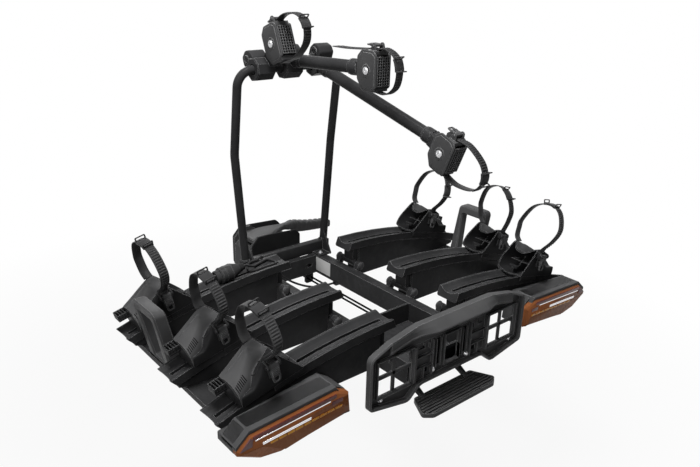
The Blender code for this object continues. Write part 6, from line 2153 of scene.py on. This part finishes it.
@dataclass
class Wing:
    """Handle and hinge caps of a folding wing.

    Attributes:
        side: The wing's side.
        handle_y: Middle of the handle.
        handle: Width, height and depth of the handle.
        foot: Place (x, z) of the handle's foot.
        lean: Slope of the handle outward.
        hinge: Place (x, z) of the hinge axis.
        lug: Outer end of a hinge lug from the tray's middle.
    """

    side: Side
    handle_y: float = -0.37895
    handle: Point = (0.115, 0.163, 0.033)
    foot: tuple[float, float] = (0.5464, -0.003)
    lean: float = 0.22
    hinge: tuple[float, float] = HINGE
    lug: float = 0.05075

    def handle_surface(self) -> Surface:
        """Handle: a rounded loop that leans outward, x growing with the height.

        Returns:
            The closed surface of the right handle.
        """
        width, height, depth = self.handle
        half = width / 2
        outer = oblong(-half, 0.0, half, height)
        inner = [
            (-half + 0.030, 0.009), (half - 0.030, 0.009), (half - 0.018, height - 0.026),
            (-half + 0.018, height - 0.026)]
        outside = round_corners(outer, np.array((0.002, 0.002, 0.016, 0.016)), 6)
        inside = round_corners(inner, np.array((0.004, 0.004, 0.009, 0.009)), 6)
        loop = ring(outside, inside, "X", -depth / 2, depth / 2, 0.0040)
        shear = ((1.0, 0.0, self.lean), ALONG_Y, ALONG_Z)
        return loop.at(Place((self.foot[0], self.handle_y, self.foot[1]), shear))

    def caps(self, arc: TrayArc) -> Surface:
        """Domed caps on both ends of the three hinge pins.

        Args:
            arc: The arc that the trays follow.

        Returns:
            The closed surfaces of the right wing.
        """
        x, z = self.hinge
        reach = self.lug + 0.0030
        parts = []
        for row in arc.rows:
            for sign in (1.0, -1.0):
                parts.append(turned([
                    (0.0002, 0.0126), (0.0008, 0.0132), (0.0018, 0.0132), (0.0020, 0.0108),
                    (0.0040, 0.0106), (0.0056, 0.0092), (0.0064, 0.0064), (0.0066, 0.0020)],
                    (x, row + sign * (reach - 0.0028), z), (0.0, sign, 0.0), 28))
        return join(parts)

    def build(self, shop: Workshop, arc: TrayArc) -> None:
        """Make the handle and the hinge caps.

        Args:
            shop: Makes the pieces.
            arc: The arc that the trays follow.
        """
        name = self.side.value
        place = Place(mirror=self.side is Side.LEFT)
        shop.piece(
            f"handle_{name}_loop", self.handle_surface().at(place), "plastic", f"wing_{name}",
            (f"handle_{name}",))
        shop.piece(f"hinge_caps_{name}", self.caps(arc).at(place), "plastic", "platform")


@dataclass
class Coupling:
    """Clamping lever and side covers of the tow ball coupling.

    Attributes:
        pivot: Place (x, z) of the lever's axis.
        middle_y: Middle plane of the lever.
        wide: Half width of its plate.
        grip: Start, length, width, height, upper edge and drop of the grip.
        belly: How much deeper the grip is than its neck.
        covers: Outer faces of the two side covers along Y, and their thickness.
    """

    pivot: tuple[float, float] = (-0.062, 0.080)
    middle_y: float = 0.010
    wide: float = 0.0455
    grip: tuple[float, ...] = (0.085, 0.175, 0.030, 0.028, 0.102, 0.025)
    belly: float = 0.011
    covers: tuple[float, float, float] = (-0.0505, 0.0705, 0.006)

    def lever(self) -> Surface:
        """Lever: rounded sections along X, smooth in the plate and ribbed on the grip.

        Half width, lower and upper edge are cubic curves through stations; each section
        is a rounded rectangle of these.

        Returns:
            The closed surface.
        """
        px, pz = self.pivot
        start, length, width, height, top, drop = self.grip
        low_plate, top_plate = pz - 0.011, pz + 0.007
        low = top - height
        stations = np.array((
            (px - 0.010, self.wide * 0.94, low_plate + 0.004, top_plate - 0.003),
            (px - 0.002, self.wide, low_plate, top_plate),
            (px + 0.050, self.wide, low_plate, top_plate + 0.004),
            (px + 0.084, self.wide * 0.72, low_plate + 0.002, top_plate + 0.008),
            (0.060, width * 0.44, low + 0.006, top - 0.004),
            (start, width * 0.42, low + 0.002, top - 0.002),
            (start + 0.010, width * 0.50, low, top),
            (start + 0.030, width * 0.54, low - self.belly, top),
            (start + length * 0.5, width * 0.54, low - self.belly - drop * 0.3, top - drop * 0.5),
            (start + length * 0.94, width * 0.52, low - drop * 0.94, top - drop * 0.94),
            (start + length, width * 0.36, low - drop + 0.006, top - drop - 0.006)))
        path = smooth_path(stations, 36)
        x, half, floor, roof = path.T
        ribs = (x > start + 0.020) & (x < start + length - 0.020)
        wave = 0.0026 * ribs * np.clip(2.5 * np.sin((x - start) / 0.011 * math.pi) - 0.6, 0.0, 1.0)
        half, roof = half - wave * 0.5, roof - wave
        turn = np.linspace(0.0, math.tau, 40, endpoint=False)
        c, s = np.cos(turn), np.sin(turn)
        square = np.sign(c) * np.abs(c) ** 0.42, np.sign(s) * np.abs(s) ** 0.42
        y = self.middle_y + half[:, None] * square[0][None]
        z = (floor + roof)[:, None] / 2 + (roof - floor)[:, None] / 2 * square[1][None]
        return grid(np.stack((np.broadcast_to(x[:, None], y.shape), y, z), axis=-1))

    def cover(self) -> Surface:
        """Both side covers, rounded plates over the cheeks that hide the lever's pin.

        Returns:
            The closed surfaces.
        """
        outline = round_corners([
            (-0.0895, -0.0190), (0.0955, -0.0190), (0.0955, 0.0780), (0.0780, 0.0950),
            (-0.0240, 0.1012),
            (-0.0640, 0.1012), (-0.0895, 0.0740)], 0.006, 4)
        near, far, thick = self.covers
        rear = prism(outline, "Y", near, near + thick, 0.002)
        return rear + prism(outline, "Y", far - thick, far, 0.002)

    def build(self, shop: Workshop) -> None:
        """Make the lever in place of its node, and the side covers.

        Args:
            shop: Makes the pieces.
        """
        shop.piece("coupling_covers", self.cover(), "shell", "coupling")
        shop.piece(
            "coupling_lever_grip", self.lever(), "plastic", "coupling_lever", ("coupling_lever",),
            sharp=45.0)


@dataclass
class Pedal:
    """Release pedal: a ridged tread on two arms.

    Attributes:
        front_y: Front edge of the tread.
        rear_y: Rear edge of the tread.
        width: Width of the tread.
        rear_width: Width of its rear edge.
        top: Height of its upper face.
        thickness: Its thickness.
        axle: Place (y, z) of the axle.
        ridges: Number of ridges.
    """

    front_y: float = -0.793
    rear_y: float = -0.870
    width: float = 0.266
    rear_width: float = 0.220
    top: float = -0.075
    thickness: float = 0.013
    axle: tuple[float, float] = (-0.735, -0.047)
    ridges: int = 8

    def build(self, shop: Workshop) -> None:
        """Make the tread, its ridges and its arms.

        Args:
            shop: Makes the pieces.
        """
        half, rear = self.width / 2, self.rear_width / 2
        low = self.top - self.thickness
        outline = round_corners([
            (-half, self.rear_y + 0.018), (-rear, self.rear_y), (rear, self.rear_y),
            (half, self.rear_y + 0.018), (half - 0.030, self.front_y),
            (-half + 0.030, self.front_y)],
            0.006, 4)
        # Painted shade: the tread's floor between the ridges is near black, so the gaps read dark.
        base = prism(drawn_in(outline, 0.0006), "Z", low + 0.0004, self.top - 0.0064, 0.0012)
        shop.piece("pedal_base", base, "dark", "pedal")
        inner = drawn_in(outline, 0.0030)
        parts = [ring(outline, inner, "Z", low, self.top - 0.0006, 0.0010)]
        for y in np.linspace(self.rear_y + 0.0065, self.front_y - 0.0065, self.ridges):
            reach = float(np.interp(y, (self.rear_y, self.rear_y + 0.018, self.front_y),
                                    (rear, half, half - 0.030))) - 0.005
            ridge = [
                (y - 0.0026, self.top - 0.0070), (y + 0.0026, self.top - 0.0070),
                (y + 0.0021, self.top - 0.0001), (y - 0.0021, self.top - 0.0001)]
            parts.append(prism(ridge, "X", -reach, reach, 0.0004))
        knuckle = 0.010 * spokes(np.radians(np.linspace(120.0, -90.0, 15))) + self.axle
        arm = np.vstack((
            (self.front_y - 0.013, self.top - 0.0025), knuckle,
            (self.front_y - 0.013, low + 0.0025)))
        for side in BOTH_SIDES:
            parts.append(prism(arm, "X", 0.071, 0.085, 0.0015).at(side))
        shop.piece("pedal_tread", join(parts), "plastic", "pedal", ("pedal",))


def seen_rays(tree: bpy.types.NodeTree) -> Socket:
    """Value that is 1 for the rays that show the backdrop: camera, glossy and transmission.

    Args:
        tree: Node tree that it is added to.

    Returns:
        The socket that holds the value.
    """
    path = tree.nodes.new("ShaderNodeLightPath")
    value = path.outputs["Is Camera Ray"]
    for name in ("Is Glossy Ray", "Is Transmission Ray"):
        most = tree.nodes.new("ShaderNodeMath")
        most.operation = "MAXIMUM"
        tree.links.new(value, most.inputs[0])
        tree.links.new(path.outputs[name], most.inputs[1])
        value = most.outputs[0]
    return value


@dataclass
class Studio:
    """Camera, floor, light and backdrop.

    Attributes:
        eye: Place of the camera.
        yaw: Its direction, in degrees from +Y towards +X.
        pitch: Its slope downward, in degrees.
        roll: Its turn about its own axis, in degrees.
        lens: Focal length in millimetres.
        floor_z: Height of the floor, below the tilted platform.
    """

    eye: Point = (-1.1607, -1.7773, 0.9101)
    yaw: float = 40.45795
    pitch: float = 21.26472
    roll: float = 1.49485
    lens: float = 35.612
    floor_z: float = -0.62

    LIGHTS = (
        ("top_light", (-0.5, -0.6, 2.6), (0.0, -0.4, 0.1), 1.0, 60.0),
        ("left_light", (-2.6, -1.6, 1.5), (0.0, -0.4, 0.1), 0.9, 21.0),
        ("back_light", (0.9, 2.3, 1.7), (0.0, -0.4, 0.2), 1.0, 26.0),
    )

    def camera(self) -> None:
        """Stand the camera where the photograph was taken."""
        yaw, pitch, roll = (math.radians(value) for value in (self.yaw, self.pitch, self.roll))
        ahead = np.array((
            math.sin(yaw) * math.cos(pitch), math.cos(yaw) * math.cos(pitch), -math.sin(pitch)))
        level = np.array((math.cos(yaw), -math.sin(yaw), 0.0))
        upright = np.cross(level, ahead)
        right = math.cos(roll) * level + math.sin(roll) * upright
        up = math.cos(roll) * upright - math.sin(roll) * level
        turn = np.eye(4)
        turn[:3, :4] = np.stack((right, up, -ahead, np.array(self.eye)), axis=1)
        data = bpy.data.cameras.new("camera")
        data.lens = self.lens
        data.sensor_width = 36.0
        data.sensor_fit = "HORIZONTAL"
        data.clip_start = 0.01
        made = bpy.data.objects.new("camera", data)
        made.matrix_world = Matrix(turn.tolist())
        bpy.context.scene.collection.objects.link(made)
        bpy.context.scene.camera = made

    def floor(self) -> None:
        """Pale floor: a wide sheet that fades into the white backdrop."""
        side = np.linspace(-12.0, 12.0, 25)
        x, y = np.meshgrid(side, side, indexing="ij")
        surface = grid(np.stack((x, y, np.full_like(x, self.floor_z)), axis=-1), around=False)
        mesh = bpy.data.meshes.new("studio_floor")
        mesh.from_pydata(surface.points.tolist(), [], surface.quads[:, ::-1].tolist())
        recipe = Recipe("studio_paper")
        recipe.put(
            "Base Color", recipe.mixed(recipe.noise(3.0), (0.56, 0.56, 0.56), (0.60, 0.60, 0.60)))
        recipe.put("Roughness", recipe.span(recipe.noise(40.0), (0.3, 0.7), (0.75, 0.90)))
        recipe.put("Specular IOR Level", 0.1)
        glow = recipe.node("ShaderNodeEmission", Color=(1.0, 1.0, 1.0, 1.0), Strength=1.0)
        away = recipe.node("ShaderNodeVectorMath", {"operation": "LENGTH"}, Vector=recipe.where)
        fade = recipe.span(away.outputs["Value"], (0.9, 2.2), (0.90, 1.0))
        share = recipe.times(fade, seen_rays(recipe.tree))
        blend = recipe.node(
            "ShaderNodeMixShader", None, share, recipe.shader.outputs[0], glow.outputs[0])
        output = recipe.tree.nodes["Material Output"]
        recipe.tree.links.new(blend.outputs[0], output.inputs["Surface"])
        mesh.materials.append(recipe.material)
        made = bpy.data.objects.new("studio_floor", mesh)
        bpy.context.scene.collection.objects.link(made)

    def backdrop(self) -> None:
        """White for what the camera and reflections see, softer as a light."""
        world = bpy.data.worlds.new("backdrop")
        bpy.context.scene.world = world
        world.use_nodes = True
        tree = world.node_tree
        plain = tree.nodes["Background"]
        plain.inputs["Color"].default_value = (1.0, 1.0, 1.0, 1.0)
        plain.inputs["Strength"].default_value = 0.05
        white = tree.nodes.new("ShaderNodeBackground")
        white.inputs["Color"].default_value = (1.0, 1.0, 1.0, 1.0)
        white.inputs["Strength"].default_value = 1.0
        blend = tree.nodes.new("ShaderNodeMixShader")
        tree.links.new(seen_rays(tree), blend.inputs[0])
        tree.links.new(plain.outputs[0], blend.inputs[1])
        tree.links.new(white.outputs[0], blend.inputs[2])
        tree.links.new(blend.outputs[0], tree.nodes["World Output"].inputs["Surface"])

    def light(self, name: str, place: Point, aim: Point, size: float, power: float) -> None:
        """Soft square light that looks at a point.

        Args:
            name: Its name.
            place: Where it stands.
            aim: The point that it looks at.
            size: Length of its side.
            power: Its power in watts.
        """
        data = bpy.data.lights.new(name, "AREA")
        data.size = size
        data.energy = power
        made = bpy.data.objects.new(name, data)
        back = np.array(place) - np.array(aim)
        back /= np.linalg.norm(back)
        right = np.cross((0.0, 1.0, 0.3), back)
        right /= np.linalg.norm(right)
        turn = np.eye(4)
        turn[:3, :4] = np.stack((right, np.cross(back, right), back, np.array(place)), axis=1)
        made.matrix_world = Matrix(turn.tolist())
        bpy.context.scene.collection.objects.link(made)

    def build(self) -> None:
        """Set the studio up."""
        self.camera()
        self.floor()
        self.backdrop()
        for light in self.LIGHTS:
            self.light(*light)
        bpy.context.scene.view_settings.view_transform = "Standard"


@dataclass
class Rack:
    """The whole rack, in the order that it is made.

    Attributes:
        shop: Makes the pieces.
        arc: The trays' arc.
        strap: The straps' sizes.
        ratchet: Sizes of the wheel straps' ratchets.
        buckle: Sizes of the head straps' ratchets.
        hoop: The hoop's sizes.
    """

    shop: Workshop = field(default_factory=Workshop)
    arc: TrayArc = field(default_factory=TrayArc)
    strap: Strap = field(default_factory=Strap)
    ratchet: Ratchet = field(default_factory=lambda: Ratchet(length=0.044))
    buckle: Ratchet = field(default_factory=Ratchet)
    hoop: Hoop = field(default_factory=Hoop)

    HOLDERS = {
        Side.LEFT: (
            (0.412, (-0.08, 0.199, 0.072, 0.078), 0.40, 1.0),
            (0.392, (-0.16, 0.184, 0.056, 0.078), 0.40, 1.0),
            (0.388, (-0.23, 0.178, 0.066, 0.078), 0.40, 1.0)),
        Side.RIGHT: (
            (0.370, (0.31, 0.203, 0.064, 0.069), 0.62, 0.6),
            (0.439, (-0.16, 0.212, 0.060, 0.060), 0.50, 0.6),
            (0.366, (0.45, 0.205, 0.064, 0.067), 0.40, 0.6)),
    }
    ARMS = (
        (1, -0.099, 54.2, 0.0888, 0.0, 0.0, 0.025, 22.0, 0.095, 0.0),
        (2, -0.005, 0.0, 0.2850, 0.021, 0.021, 0.065, 0.0, 0.058, 0.120),
        (3, 0.099, -19.7, 0.4940, 0.0, -0.0091, 0.066, -22.0, 0.100, 0.0),
    )
    KEPT = {
        "powder": ("beam_left", "beam_right", "front_channel", "rear_bracket", "clamp_jaw"),
        "plastic": ("coupling_housing",),
        "dark": ("release_rods",),
        "steel": ("lever_pin", "tilt_pin"),
    }
    KEPT_ON_WINGS = ("tray_{}_1", "tray_{}_2", "tray_{}_3", "outer_bar_{}")

    def dress(self) -> None:
        """Give every CAD node that stays its finish."""
        for finish, nodes in self.KEPT.items():
            for node in nodes:
                self.shop.dress(node, finish)
        for side in Side:
            for node in self.KEPT_ON_WINGS:
                self.shop.dress(node.format(side.value), "powder")

    def label(self) -> None:
        """Blank label on the inner face of the right beam."""
        shape = block((0.0962, -0.210, -0.0215), (0.0971, -0.120, 0.024), 0.0002, 0.0002)
        self.shop.piece("beam_label", shape, "label", "platform")

    def build(self) -> None:
        """Make every piece."""
        Cable().build(self.shop, self.arc)
        self.dress()
        self.hoop.build(self.shop)
        for side, holders in self.HOLDERS.items():
            for row, sizes in enumerate(holders):
                holder = WheelHolder(side, row, *sizes)
                holder.build(self.shop, self.arc, self.strap, self.ratchet)
            Wing(side).build(self.shop, self.arc)
            Lamp(side).build(self.shop)
        for sizes in self.ARMS:
            BikeArm(*sizes).build(self.shop, self.hoop, self.strap, self.buckle)
        PlateHolder().build(self.shop)
        Coupling().build(self.shop)
        Pedal().build(self.shop)
        self.label()


def main() -> None:
    """Build the scene."""
    logging.basicConfig(level=logging.INFO, format="%(message)s")
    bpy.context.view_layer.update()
    Studio().build()
    Rack().build()


if __name__ == "__main__":
    main()
